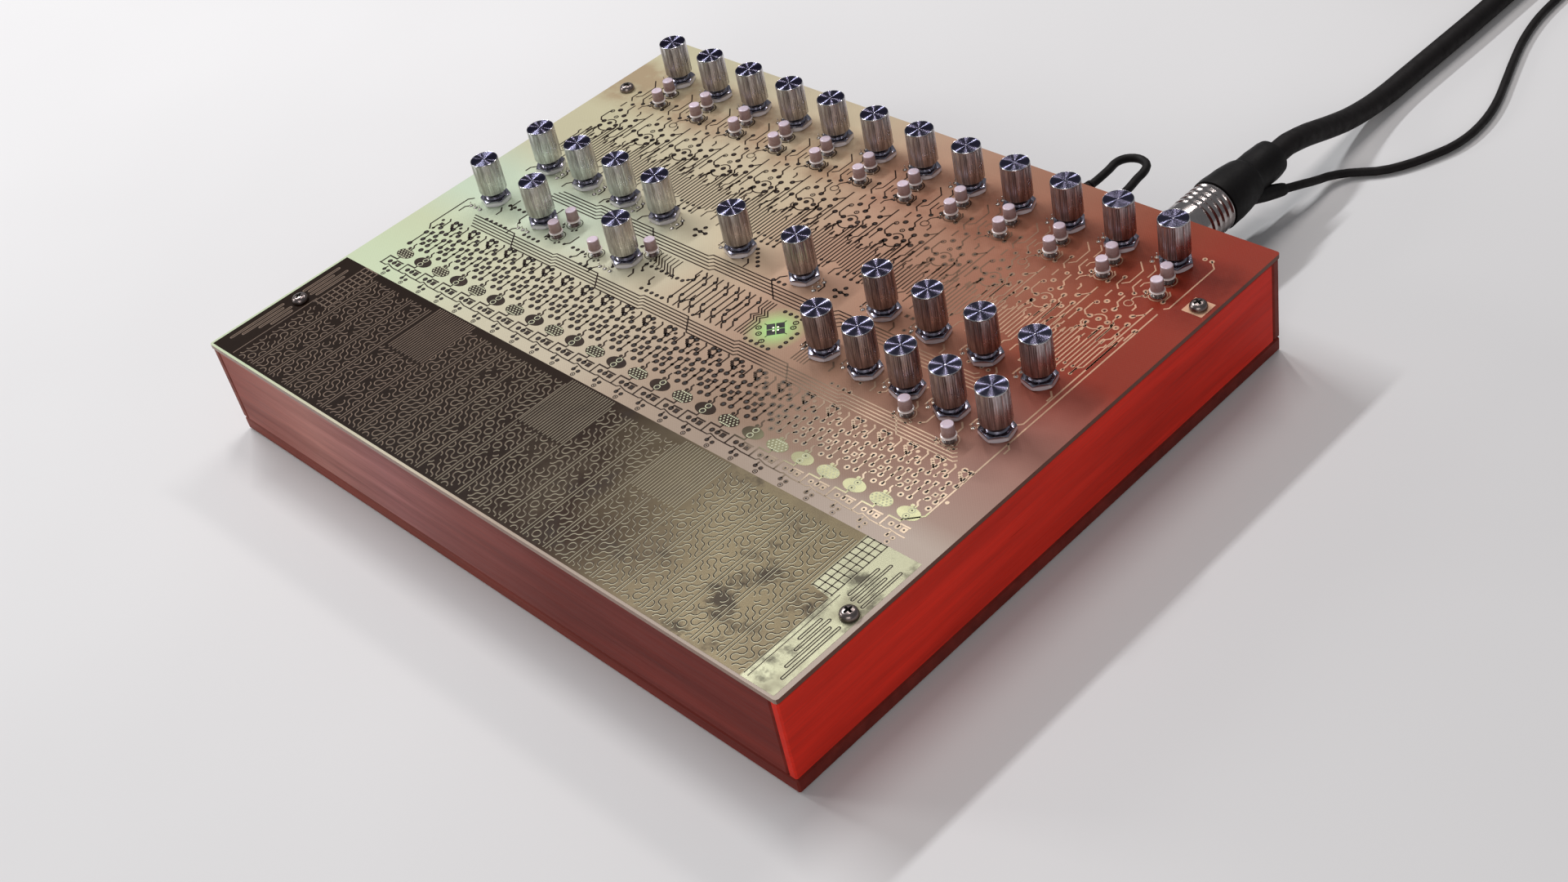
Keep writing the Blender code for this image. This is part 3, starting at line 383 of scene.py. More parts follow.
def turned_finish():
    """Aluminium faced on a lathe: each fine ring leans in or out and spreads light
    along the radius."""
    finish = Finish("turned_face", {"Metallic": 1.0, "Anisotropic": 1.0,
                                    "Anisotropic Rotation": 0.25,
                                    "Specular Tint": (0.08, 0.08, 0.10)})
    flat = finish.vector("MULTIPLY", finish.place, (1, 1, 0))
    radius = finish.vector("LENGTH", flat, output="Value")
    rings = finish.node("ShaderNodeTexWhiteNoise", {"noise_dimensions": "1D"},
                        {"W": radius * 200000.0})
    outward = finish.vector("NORMALIZE", flat)
    leaning = finish.vector("MULTIPLY", outward, finish.spread(rings, 0, 1, -0.54, 0.54))
    normal = finish.vector("NORMALIZE", finish.vector("ADD", leaning, (0, 0, 1)))
    # The dark navy Base Color is a painted dark reflection, not the aluminium's own colour.
    finish.set({"Normal": finish.node("ShaderNodeVectorTransform", {
                    "vector_type": "NORMAL", "convert_from": "OBJECT",
                    "convert_to": "WORLD"}, {0: normal}),
                "Base Color": finish.mix(rings, (0.095, 0.090, 0.135), (0.115, 0.110, 0.160)),
                "Roughness": finish.spread(rings, 0.0, 1.0, 0.21, 0.25)})
    return finish.material


def knurl_finish(name, tone, streak_darkness):
    """The knob's side: aluminium, dull and fingermarked in blotches, with dark streaks along its height.
    """
    finish = Finish(name, {"Metallic": 1.0})
    blotches = finish.spread(finish.noise(1.0, 3.0, 0.6, finish.stretched((300, 300, 150))),
                             0.36, 0.66)
    streaks = finish.spread(finish.noise(1.0, 2.0, 0.6, finish.stretched((950, 950, 45))),
                            0.38, 0.62)
    base = finish.mix(blotches, (0.80, 0.81, 0.86), (0.50, 0.49, 0.51))
    base = finish.mix(streaks, finish.mix(streak_darkness, base, (0.14, 0.115, 0.11)), base)
    finish.set({"Base Color": finish.vector("MULTIPLY", base, tone),
                "Roughness": finish.spread(blotches, 0, 1, 0.26, 0.42)})
    finish.bump(finish.noise(2600.0, 2.0), 0.00001)
    return finish.material


def nut_finish():
    """Plated steel, its dark tone a painted reflection of the dark knob above it, with painted highlights
    on its bright lower edges.
    """
    finish = Finish("plated_nut", {})
    marks = finish.spread(finish.noise(300.0), 0.35, 0.75)
    tone = finish.mix(marks, (0.30, 0.29, 0.35), (0.18, 0.17, 0.22))
    # Painted highlight: the lowest part is light and less metallic.
    low = finish.spread(finish.axis("Z") - TOP, 0.0019, 0.0013)
    finish.set({"Base Color": finish.mix(low, tone, (0.72, 0.69, 0.74)),
                "Metallic": finish.spread(low, 0, 1, 1.0, 0.35),
                "Roughness": finish.spread(marks, 0, 1, 0.16, 0.28)})
    return finish.material


def cap_finish():
    """Pinkish translucent plastic, with light and shade painted on by height."""
    finish = Finish("cap_plastic", {"Subsurface Weight": 0.35, "Subsurface Radius":
                                    (0.0016, 0.0011, 0.0009), "Coat Weight": 0.3,
                                    "Coat Roughness": 0.12})
    up = finish.axis("Z") - TOP
    # Painted light: the body is lighter towards its top.
    base = finish.mix(finish.spread(up, 0.0026, 0.0060), (0.24, 0.145, 0.135),
                      (0.38, 0.265, 0.260))
    # Painted highlight: a bright ring at the flange.
    base = finish.mix(finish.spread(up, 0.0026, 0.0022), base, (0.90, 0.82, 0.80))
    # Darker below the flange, over the plunger.
    base = finish.mix(finish.spread(up, 0.0019, 0.0017), base, (0.085, 0.050, 0.045))
    # Painted light: a pale lilac top.
    base = finish.mix(finish.spread(up, 0.0059, 0.0061), base, (0.66, 0.54, 0.62))
    marks = finish.spread(finish.noise(500.0), 0.4, 0.7, 0.0, 0.3)
    finish.set({"Base Color": finish.mix(marks, base, (0.36, 0.25, 0.25)),
                "Roughness": finish.spread(marks, 0.0, 0.3, 0.22, 0.4)})
    return finish.material


# Mesh helpers
def add_piece(name, mesh, finish, body=CASE, place=(0, 0, 0)):
    piece = bpy.data.objects.new(name, mesh)
    piece.location = place
    bpy.context.scene.collection.objects.link(piece)
    if finish is not None:
        if not mesh.materials:
            mesh.materials.append(finish)
    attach(piece, body)
    return piece


def smooth(mesh, angle=35):
    mesh.shade_smooth()
    mesh.set_sharp_from_angle(angle=math.radians(angle))
    return mesh


def ring_mesh(name, rings, closed_ends=True):
    """Rings of points joined one to the next. Each ring goes round the same way."""
    sides = len(rings[0])
    points = [point for ring in rings for point in ring]
    faces = []
    for level in range(len(rings) - 1):
        for side in range(sides):
            following = (side + 1) % sides
            low, high = level * sides, (level + 1) * sides
            faces.append((low + side, low + following, high + following, high + side))
    if closed_ends:
        faces.append(tuple(reversed(range(sides))))
        faces.append(tuple(range((len(rings) - 1) * sides, len(rings) * sides)))
    mesh = bpy.data.meshes.new(name)
    mesh.from_pydata(points, [], faces)
    return mesh


def turn_profile(name, profile, sides=48, angle=35):
    """A turned mesh. The profile is (radius, height) from its foot to its top."""
    rings = [[(r * math.cos(2 * math.pi * s / sides), r * math.sin(2 * math.pi * s / sides), z)
              for s in range(sides)] for r, z in profile]
    return smooth(ring_mesh(name, rings), angle)


def joined(name, meshes_and_places, finish=None):
    """Meshes gathered in one, each moved by its own matrix or place."""
    gathered = bmesh.new()
    for mesh, place in meshes_and_places:
        move = place if isinstance(place, Matrix) else Matrix.Translation(place)
        count = len(gathered.verts)
        gathered.from_mesh(mesh)
        gathered.verts.ensure_lookup_table()
        bmesh.ops.transform(gathered, matrix=move, verts=gathered.verts[count:])
    mesh = bpy.data.meshes.new(name)
    gathered.to_mesh(mesh)
    gathered.free()
    for material in meshes_and_places[0][0].materials:
        mesh.materials.append(material)
    return smooth(mesh)


ALONG_Y = Matrix.Rotation(-math.pi / 2, 4, "X")


# Cords. Their routes repeat those of the solids.
CORD_GAP = 0.0003
COIL_CLEARANCE = 0.0006
LOOP_POINTS = 40
MAIN_CABLE_RADIUS = 0.0040
THIN_CABLE_RADIUS = 0.0015
LINK_CABLE_RADIUS = 0.0015
THIN_PLUG_LENGTH = 0.0220
THIN_BOOT_LENGTH = 0.0080
BOX_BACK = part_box("back_board")[1].y
SOCKET_FOOT = Vector((middle_of("main_socket").x, BOX_BACK, 0))
SOCKET_Z = middle_of("main_socket").z
LINK_Z, LINK_SPACING = 0.0220, 0.0127
LINK_X = middle_of("link_sockets").x - LINK_SPACING / 2
LINK_FOOT = Vector((LINK_X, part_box("link_lead")[0].y, LINK_Z))
MAIN_EXIT = Vector((SOCKET_FOOT.x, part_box("plug_sleeve")[1].y + CORD_GAP, SOCKET_Z))
THIN_START = SOCKET_FOOT + Vector((0.0082, 0.0611, 0.0108))
THIN_DIRECTION = Vector((0.22, 0.94, -0.26)).normalized()
MAIN_COIL_OFFSET = (-0.0479, 0.2689)
THIN_COIL_OFFSET = (0.0392, 0.2649)
MAIN_COIL_RADIUS = 0.0490
THIN_COIL_RADIUS = 0.0220
MAIN_TURNS, MAIN_LAYERS = 2.125, 2
THIN_TURNS, THIN_LAYERS = 2.5625, 2
MAIN_ROUTE = [
    (0.0000, 0.0747, 0.0180), (0.0002, 0.0849, 0.0158), (0.0005, 0.0979, 0.0117),
    (0.0007, 0.1109, 0.0080), (0.0006, 0.1249, 0.0054), (0.0005, 0.1384, 0.0042),
    (0.0005, 0.1516, 0.0040), (0.0007, 0.1649, 0.0040), (0.0009, 0.1784, 0.0040),
    (0.0011, 0.1924, 0.0040), (0.0011, 0.2127, 0.0040), (0.0011, 0.2329, 0.0040),
    (0.0011, 0.2509, 0.0040)]
MAIN_TAIL = [
    (-0.0675, 0.3177, 0.0118), (-0.0825, 0.3169, 0.0090), (-0.0975, 0.3124, 0.0058),
    (-0.1095, 0.3024, 0.0044), (-0.1170, 0.2894, 0.0046), (-0.1200, 0.2749, 0.0060),
    (-0.1205, 0.2609, 0.0088), (-0.1205, 0.2529, 0.0090)]
THIN_ROUTE = [
    (0.0092, 0.0655, 0.0096), (0.0098, 0.0704, 0.0080), (0.0103, 0.0764, 0.0058),
    (0.0110, 0.0839, 0.0035), (0.0145, 0.0909, 0.0019), (0.0225, 0.0976, 0.0015),
    (0.0281, 0.1054, 0.0015), (0.0320, 0.1134, 0.0015), (0.0352, 0.1219, 0.0015),
    (0.0365, 0.1314, 0.0015), (0.0360, 0.1424, 0.0015), (0.0337, 0.1539, 0.0015),
    (0.0297, 0.1666, 0.0015), (0.0253, 0.1801, 0.0015), (0.0210, 0.1949, 0.0015),
    (0.0181, 0.2107, 0.0015), (0.0172, 0.2256, 0.0015), (0.0172, 0.2409, 0.0015),
    (0.0172, 0.2529, 0.0015)]
THIN_TAIL = [
    (0.0305, 0.2871, 0.0050), (0.0387, 0.2931, 0.0046), (0.0485, 0.2957, 0.0045),
    (0.0590, 0.2939, 0.0045), (0.0675, 0.2879, 0.0045), (0.0725, 0.2794, 0.0045),
    (0.0740, 0.2709, 0.0045), (0.0740, 0.2649, 0.0045)]
LINK_ROUTE = [
    (0, 0.0080, 0), (0, 0.0190, -0.0001), (-0.0006, 0.0265, -0.0003),
    (-0.0013, 0.0315, -0.0005), (0.0003, 0.0355, -0.0007), (0.0042, 0.0373, -0.0008),
    (0.0082, 0.0356, -0.0007), (0.0102, 0.0316, -0.0005), (0.0110, 0.0265, -0.0003),
    (0.0122, 0.0205, -0.0001), (0.0127, 0.0150, 0), (0.0127, 0.0080, 0)]


def smooth_path(points, spacing):
    """Points at even steps along a smooth curve through the route's points."""
    route = [Vector(p) for p in points]
    dense = []
    for number in range(len(route) - 1):
        before = route[max(number - 1, 0)]
        start, end = route[number], route[number + 1]
        after = route[min(number + 2, len(route) - 1)]
        reach = (end - start).length / 3
        leave = start + (end - before).normalized() * reach
        arrive = end - (after - start).normalized() * reach
        dense += interpolate_bezier(start, leave, arrive, end, 12)[:-1]
    dense.append(route[-1])
    lengths = [0.0]
    for a, b in zip(dense, dense[1:]):
        lengths.append(lengths[-1] + (b - a).length)
    steps = max(2, round(lengths[-1] / spacing))
    path, cursor = [], 0
    for step in range(steps + 1):
        target = lengths[-1] * step / steps
        while cursor < len(lengths) - 2 and lengths[cursor + 1] < target:
            cursor += 1
        span = lengths[cursor + 1] - lengths[cursor]
        share = (target - lengths[cursor]) / span if span else 0.0
        path.append(dense[cursor].lerp(dense[cursor + 1], share))
    return path


def coil_path(centre, outer_radius, cord_radius, turns, layers, start_angle, turning):
    """Loops that spiral in and out, and climb a layer where the spiral reverses."""
    pitch = layer_height = 2 * cord_radius + COIL_CLEARANCE
    path = []
    for step in range(round(turns * layers * LOOP_POINTS) + 1):
        turn = step / LOOP_POINTS
        layer = min(int(turn / turns), layers - 1)
        inward = turn - layer * turns
        depth = inward if layer % 2 == 0 else turns - inward
        rise = 0.0
        for change in range(1, layers):
            share = min(max((turn - change * turns) / 0.5 + 0.5, 0.0), 1.0)
            rise += share * share * (3 - 2 * share)
        angle = start_angle + turning * 2 * math.pi * turn
        radius = outer_radius - pitch * depth
        path.append(centre + Vector((radius * math.cos(angle), radius * math.sin(angle),
                                     rise * layer_height)))
    return path


def path_length(path):
    return sum((b - a).length for a, b in zip(path, path[1:]))


def cord_piece(name, path, radius, finish):
    curve = bpy.data.curves.new(name, "CURVE")
    curve.dimensions = "3D"
    curve.bevel_depth = radius
    curve.bevel_resolution = 4
    curve.use_fill_caps = True
    spline = curve.splines.new("POLY")
    spline.points.add(len(path) - 1)
    for point, place in zip(spline.points, path):
        point.co = (*place, 1.0)
    curve.materials.append(finish)
    piece = bpy.data.objects.new(name, curve)
    bpy.context.scene.collection.objects.link(piece)
    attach(piece, CASE)
    return piece


def from_socket(route):
    """A route's points, which are measured from the foot of the main socket."""
    return [SOCKET_FOOT + Vector(point) for point in route]


def make_main_cable(finish):
    centre = SOCKET_FOOT + Vector((*MAIN_COIL_OFFSET, MAIN_CABLE_RADIUS))
    coil = coil_path(centre, MAIN_COIL_RADIUS, MAIN_CABLE_RADIUS, MAIN_TURNS, MAIN_LAYERS,
                     0.0, 1)
    start = coil[0] - Vector((0, 2 * MAIN_CABLE_RADIUS, 0))
    route = [MAIN_EXIT] + smooth_path(from_socket(MAIN_ROUTE) + [start],
                                      1.5 * MAIN_CABLE_RADIUS)
    tail = smooth_path([coil[-1]] + from_socket(MAIN_TAIL), 2.5 * MAIN_CABLE_RADIUS)
    tail.append(tail[-1] - Vector((0, 2 * MAIN_CABLE_RADIUS, 0)))
    path = route + coil[:-1] + tail
    piece = cord_piece("main_cable_whole", path, MAIN_CABLE_RADIUS, finish)
    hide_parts("main_cable", "main_cable_coil")
    return piece, path_length(path)


def make_thin_cable(finish):
    centre = SOCKET_FOOT + Vector((*THIN_COIL_OFFSET, THIN_CABLE_RADIUS))
    coil = coil_path(centre, THIN_COIL_RADIUS, THIN_CABLE_RADIUS, THIN_TURNS, THIN_LAYERS,
                     math.pi, -1)
    start = coil[0] - Vector((0, 2 * THIN_CABLE_RADIUS, 0))
    first = THIN_START + THIN_DIRECTION * CORD_GAP
    route = [first] + smooth_path(from_socket(THIN_ROUTE) + [start], 3 * THIN_CABLE_RADIUS)
    tail = smooth_path([coil[-1]] + from_socket(THIN_TAIL), 3 * THIN_CABLE_RADIUS)
    path = route + coil[:-1] + tail
    piece = cord_piece("thin_cable_whole", path, THIN_CABLE_RADIUS, finish)
    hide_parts("thin_cable", "thin_cable_coil")
    plug = turn_profile("thin_plug", [(r * MM, z * MM) for r, z in (
        (0.05, 0.0), (4.1, 0.0), (4.5, 0.4), (4.5, 13.4), (3.9, 14.0), (3.0, 14.8),
        (2.6, 15.4), (3.0, 15.8), (2.9, 16.6), (2.4, 17.0), (2.7, 17.4), (2.6, 18.2),
        (2.2, 18.6), (2.5, 19.0), (2.4, 19.8), (2.0, 20.2), (2.1, 20.8), (1.9, 22.0),
        (0.05, 22.0))], 40)
    foot = path[-1] - Vector((0, THIN_PLUG_LENGTH - THIN_BOOT_LENGTH, 0))
    plug.transform(Matrix.Translation(foot) @ ALONG_Y)
    add_piece("thin_plug_moulded", plug, finish)
    path_length(path)


# What the panel's copper is drawn with, in millimetres
class Artwork:
    """Flat copper shapes in one mesh. Each call adds one shape."""

    def __init__(self, height):
        self.height = TOP + height * MM
        self.points, self.faces = [], []

    def face(self, corners):
        start = len(self.points)
        self.points += [(x * MM, y * MM, self.height) for x, y in corners]
        self.faces.append(tuple(range(start, start + len(corners))))

    def oval(self, x, y, across, along=None, sides=12, turn=0.0):
        along = across if along is None else along
        angles = [2 * math.pi * (s + turn) / sides for s in range(sides)]
        self.face([(x + across * math.cos(a), y + along * math.sin(a)) for a in angles])

    def square(self, x, y, half, turn=0.0):
        self.oval(x, y, half * math.sqrt(2), sides=4, turn=0.5 + turn)

    def strip(self, left, right):
        start = len(self.points)
        for (ax, ay), (bx, by) in zip(left, right):
            self.points += [(ax * MM, ay * MM, self.height), (bx * MM, by * MM, self.height)]
        for step in range(len(left) - 1):
            at = start + 2 * step
            self.faces.append((at + 1, at + 3, at + 2, at))

    def track(self, route, width=0.58):
        """A line of even width along a route, with mitred corners."""
        spots = [Vector(spot) for spot in route]
        left, right = [], []
        for number, spot in enumerate(spots):
            before = (spot - spots[number - 1]).normalized() if number else None
            after = (spots[number + 1] - spot).normalized() if number + 1 < len(spots) else None
            ahead = before or after
            if before and after:
                ahead = (before + after).normalized()
            side = Vector((-ahead.y, ahead.x))
            stretch = 1.0
            if before and after:
                stretch = 1 / max(0.4, ahead.dot(before))
            reach = side * width / 2 * stretch
            left.append(tuple(spot + reach))
            right.append(tuple(spot - reach))
        self.strip(left, right)

    def arc(self, x, y, radius, start, end, width=0.3, steps=5):
        angles = [math.radians(start + (end - start) * s / steps) for s in range(steps + 1)]
        self.track([(x + radius * math.cos(a), y + radius * math.sin(a)) for a in angles],
                   width)

    def piece(self, name, finish):
        mesh = bpy.data.meshes.new(name)
        mesh.from_pydata(self.points, [], self.faces)
        return add_piece(name, mesh, finish)


class GapLines(Artwork):
    """Lines etched through a plate, each with an offset strip of painted light and shade along one edge.
    """

    def __init__(self):
        super().__init__(0.07)
        self.edges = Artwork(0.055)

    def track(self, route, width=0.28):
        super().track(route, width)
        self.edges.track([(x + 0.13, y - 0.13) for x, y in route], width + 0.08)


class Board:
    """The panel's tracks, and pads with a drilled hole in each."""

    def __init__(self):
        self.copper, self.holes = Artwork(0.04), Artwork(0.06)
        self.bare, self.lights = Artwork(0.055), Artwork(0.075)

    def pad(self, x, y, radius=0.85, hole=0.32, square=False):
        if square:
            self.copper.square(x, y, radius)
        else:
            self.copper.oval(x, y, radius)
        if hole:
            self.holes.oval(x, y, hole, sides=8)

    def ring(self, x, y, radius, width=0.28):
        self.copper.arc(x, y, radius, 0, 360, width, 14)

    def pads(self, x, y, count, dx=2.5, dy=0.0, **more):
        for number in range(count):
            self.pad(x + number * dx, y + number * dy, **more)


KEY_X = [(number - 11.5) * 10.16 + 0.4 for number in range(KEY_COUNT)]


def draw_key_circuits(board):
    """One electrode with its row of parts behind each key."""
    copper = board.copper
    for number, x in enumerate(KEY_X):
        flip = 1 if number % 2 else -1
        copper.oval(x, -39.6, 3.9, 2.5, 28)
        if number % 2:
            for y in (-38.3, -40.8):
                board.bare.arc(x, y, 0.95, 0, 360, 0.3, 14)
                board.holes.oval(x, y, 0.3, sides=8)
        else:
            for row in range(-2, 3):
                reach = 3.4 - abs(row) * 0.75
                count = 5 if row % 2 else 6
                for spot in range(count):
                    along = (spot / (count - 1) * 2 - 1) * reach
                    board.bare.oval(x + along, -39.6 + row * 0.93, 0.33, sides=8)
        copper.track([(x, -37.2), (x, -35.9), (x - 1.0, -34.9), (x - 1.0, -33.6)])
        for dx, y in ((1.4, -17.9), (3.7, -17.9), (-1.5, -22.8), (1.2, -24.4), (3.7, -24.4),
                      (-4.1, -27.2), (1.2, -27.2), (-1.7, -30.6), (0.5, -32.3),
                      (3.2, -32.3), (-4.1, -34.7), (3.2, -35.2)):
            board.pad(x + dx, y, 1.02, 0.44)
        for dx, y in ((3.7, -21.2), (-3.0, -21.2), (3.2, -28.9), (-1.7, -26.4), (1.2, -30.0)):
            board.pad(x + dx, y, 0.86, 0.38, square=True)
        for dx, y in ((1.0, -19.4), (1.7, -20.1), (2.4, -20.8), (-4.6, -19.2), (-4.0, -24.2),
                      (6.0, -30.6), (-1.2, -36.6)):
            board.pad(x + dx, y, 0.66, 0.0)
        for route in ([(-4.1, -27.2), (-4.1, -34.7)], [(3.7, -17.9), (3.7, -21.2)],
                      [(1.4, -17.9), (3.7, -17.9)], [(-1.5, -22.8), (-1.5, -18.4), (-2.6, -17.3)],
                      [(1.2, -24.4), (1.2, -27.2)], [(3.2, -28.9), (3.2, -32.3)],
                      [(0.5, -32.3), (-0.5, -33.3)], [(-1.7, -30.6), (-1.7, -26.4)],
                      [(2.4, -20.8), (3.7, -22.1), (3.7, -24.4)],
                      [(-3.0, -21.2), (-4.0, -22.2), (-4.0, -24.2)],
                      [(0, -41.6), (0, -43.2), (-4.0, -43.2), (-4.0, -47.5)],
                      [(1.0, -45.3), (1.0, -43.9), (4.6, -43.9)]):
            copper.track([(x + dx, y) for dx, y in route])
        for step in range(3):
            board.pad(x - 1.3 + 2.3 * step, -45.3, 0.95, 0.34, square=step == 2)
        steps = [(-4.6, -47.5), (-1.2, -47.5), (-0.5, -46.9 - 0.2 * flip), (2.8, -47.5),
                 (5.56, -47.5)]
        copper.track([(x + dx, y) for dx, y in steps], 0.42)
        board.pads(x + 0.6, -49.3, 2, 2.2, radius=0.78)
        copper.track([(x + 0.6, -49.3), (x + 0.6, -47.5)])
        board.ring(x + 2.4, -51.2, 0.72)
        board.holes.oval(x + 2.4, -51.2, 0.3, sides=8)


def draw_buses(board):
    """Long lines that run side by side between the rows of parts."""
    copper = board.copper
    for line in range(5):
        y = -10.9 - 1.27 * line
        route = [(-113 + line, y)]
        for step in range(1, 11):
            x = -113 + 22.2 * step + 1.1 * line
            shift = -1.0 if step % 2 else 1.0
            route += [(x, route[-1][1]), (x + abs(shift), route[-1][1] + shift)]
        copper.track(route, 0.48)
        y = 10.2 + 1.35 * line
        route = [(-100 + 1.2 * line, y)]
        for step in range(1, 8):
            x = -100 + 28.5 * step - 1.5 * line
            shift = 1.2 if step % 2 else -1.2
            route += [(x, route[-1][1]), (x + abs(shift), route[-1][1] + shift)]
        copper.track(route, 0.48)
    copper.track([(-121.8, -4.2), (-123.5, -5.9), (-123.5, -23.0), (-121.2, -25.3)])
    copper.track([(121.8, 66.0), (121.8, -38.0), (117.0, -42.8)], 0.55)
    copper.track([(119.9, 52.0), (119.9, 6.0), (117.9, 4.0)], 0.55)
    for line in range(12):
        x = -15 + 2.5 * line
        high = 6.3 if line % 2 else 3.6
        low = -3.9 if line % 2 else -6.6
        copper.track([(x - 1.2, 8.9), (x - 1.2, high + 2.2), (x, high + 1.0), (x, low - 1.2),
                      (x + 1.5, low - 2.7), (x + 1.5, -9.6)])
        for y in (high, low):
            board.pad(x, y, 0.8)
    for line in range(7):
        x = -37 + 1.9 * line
        copper.track([(x, 8.9), (x, 7.4 - 0.5 * line), (x + 3.6, 3.8 - 0.5 * line),
                      (x + 3.6, 2.4 - 0.4 * line)], 0.46)
    for line in range(4):
        x = 15.2 + 1.35 * line
        copper.track([(x - 0.9, 8.9), (x - 0.9, 4.6), (x + 1.2, 2.5), (x - 0.6, 0.7),
                      (x + 1.0, -0.9), (x + 1.0, -8.2)], 0.48)
    for line in range(5):
        x = 37.5 + 1.3 * line
        copper.track([(x, 8.9), (x, 4.5 + 0.6 * line), (x + 3.9, 0.6 + 0.6 * line),
                      (x + 3.9, -8.6)], 0.46)


def draw_pad_rows(board):
    for x, y, count, dx, dy in (
            (-35.5, 1.4, 8, 2.5, 0), (-27.0, -8.7, 5, 2.5, 0), (-65.5, -5.5, 3, 2.5, 0),
            (-106.0, -0.4, 4, 2.6, 0), (-107.0, -10.5, 5, 2.6, 0), (-56.0, -10.5, 3, 2.6, 0),
            (-87.0, -9.6, 4, 2.5, 0), (-44.5, 7.6, 4, 2.5, 0), (22.0, -9.0, 5, 2.5, 0),
            (23.4, 7.4, 5, 2.5, 0), (34.6, -6.2, 4, 0, 2.5),
            (-76.0, 19.8, 4, 2.5, 0), (62.0, 20.2, 4, 2.5, 0), (88.5, 19.2, 4, 2.5, 0),
            (-8.6, 27.0, 5, 1.7, -1.7), (46.0, 28.0, 5, 1.7, -1.7), (8.0, 17.6, 3, 2.5, 0),
            (112.0, 4.8, 3, 2.5, 0), (60.5, -10.4, 4, 2.5, 0)):
        board.pads(x, y, count, dx, dy, radius=0.78)
    for x in (-33.2, 31.7):
        for dx, dy in ((0, 0), (2.5, 0), (-2.5, 0), (0, 2.5), (0, -2.5)):
            board.pad(x + dx, 24 + dy)
        board.copper.track([(x - 2.5, 24), (x + 2.5, 24)])
    for x, y in ((-12.0, 21.0), (58.0, 26.0), (-52.0, 26.5), (101.0, 28.0)):
        board.pads(x, y, 2, 2.4, radius=0.72, square=True)
    lines = random.Random(5)
    for number in range(26):
        x = -104 + 8.6 * number + lines.uniform(-1.5, 1.5)
        if 14 < x < 40:
            continue
        y = lines.choice((-9.6, -5.8, -1.8, 2.6))
        length, side = lines.uniform(2.0, 4.6), lines.choice((-1, 1))
        board.copper.track([(x, y), (x + side * 1.4, y + 1.4), (x + side * 1.4, y + 1.4 + length)])
        board.pad(x, y, 0.62, 0.26)


def draw_comb(board):
    """The many lines that come down from the voices to the middle of the panel."""
    heights = (1.5, 4.2, 7.4, 5.0, 2.2, 0.8, 5.4, 9.2, 10.6, 3.0, 1.2, 6.8, 3.8, 1.0)
    groups = ((-54, -44), (-16.5, -3.5), (11.5, 17), (24, 33), (62, 70), (109, 118))
    pitch = 20.32 / 14
    for number in range(167):
        x = -121 + pitch * number
        top = 45.5 + heights[number % 14]
        side = (-0.8, 0.0, 0.8)[number % 3]
        low = 35.4 - 0.55 * ((number * 5) % 4)
        in_group = any(a <= x <= b for a, b in groups)
        if in_group:
            low = 33.7 if number % 2 else 30.7
            board.pad(x, low, 0.66, 0.24)
        route = [(x, low), (x, top - 2.2), (x + side, top - 2.2 + abs(side)), (x + side, top)]
        board.copper.track(route, 0.52)
        if number % 4 == 1:
            board.pad(x + side, top, 0.6, 0.0)
        if not in_group and number % 3 == 0:
            board.copper.track([(x, low), (x - 1.4, low - 1.4), (x - 1.4, low - 4.6)], 0.46)


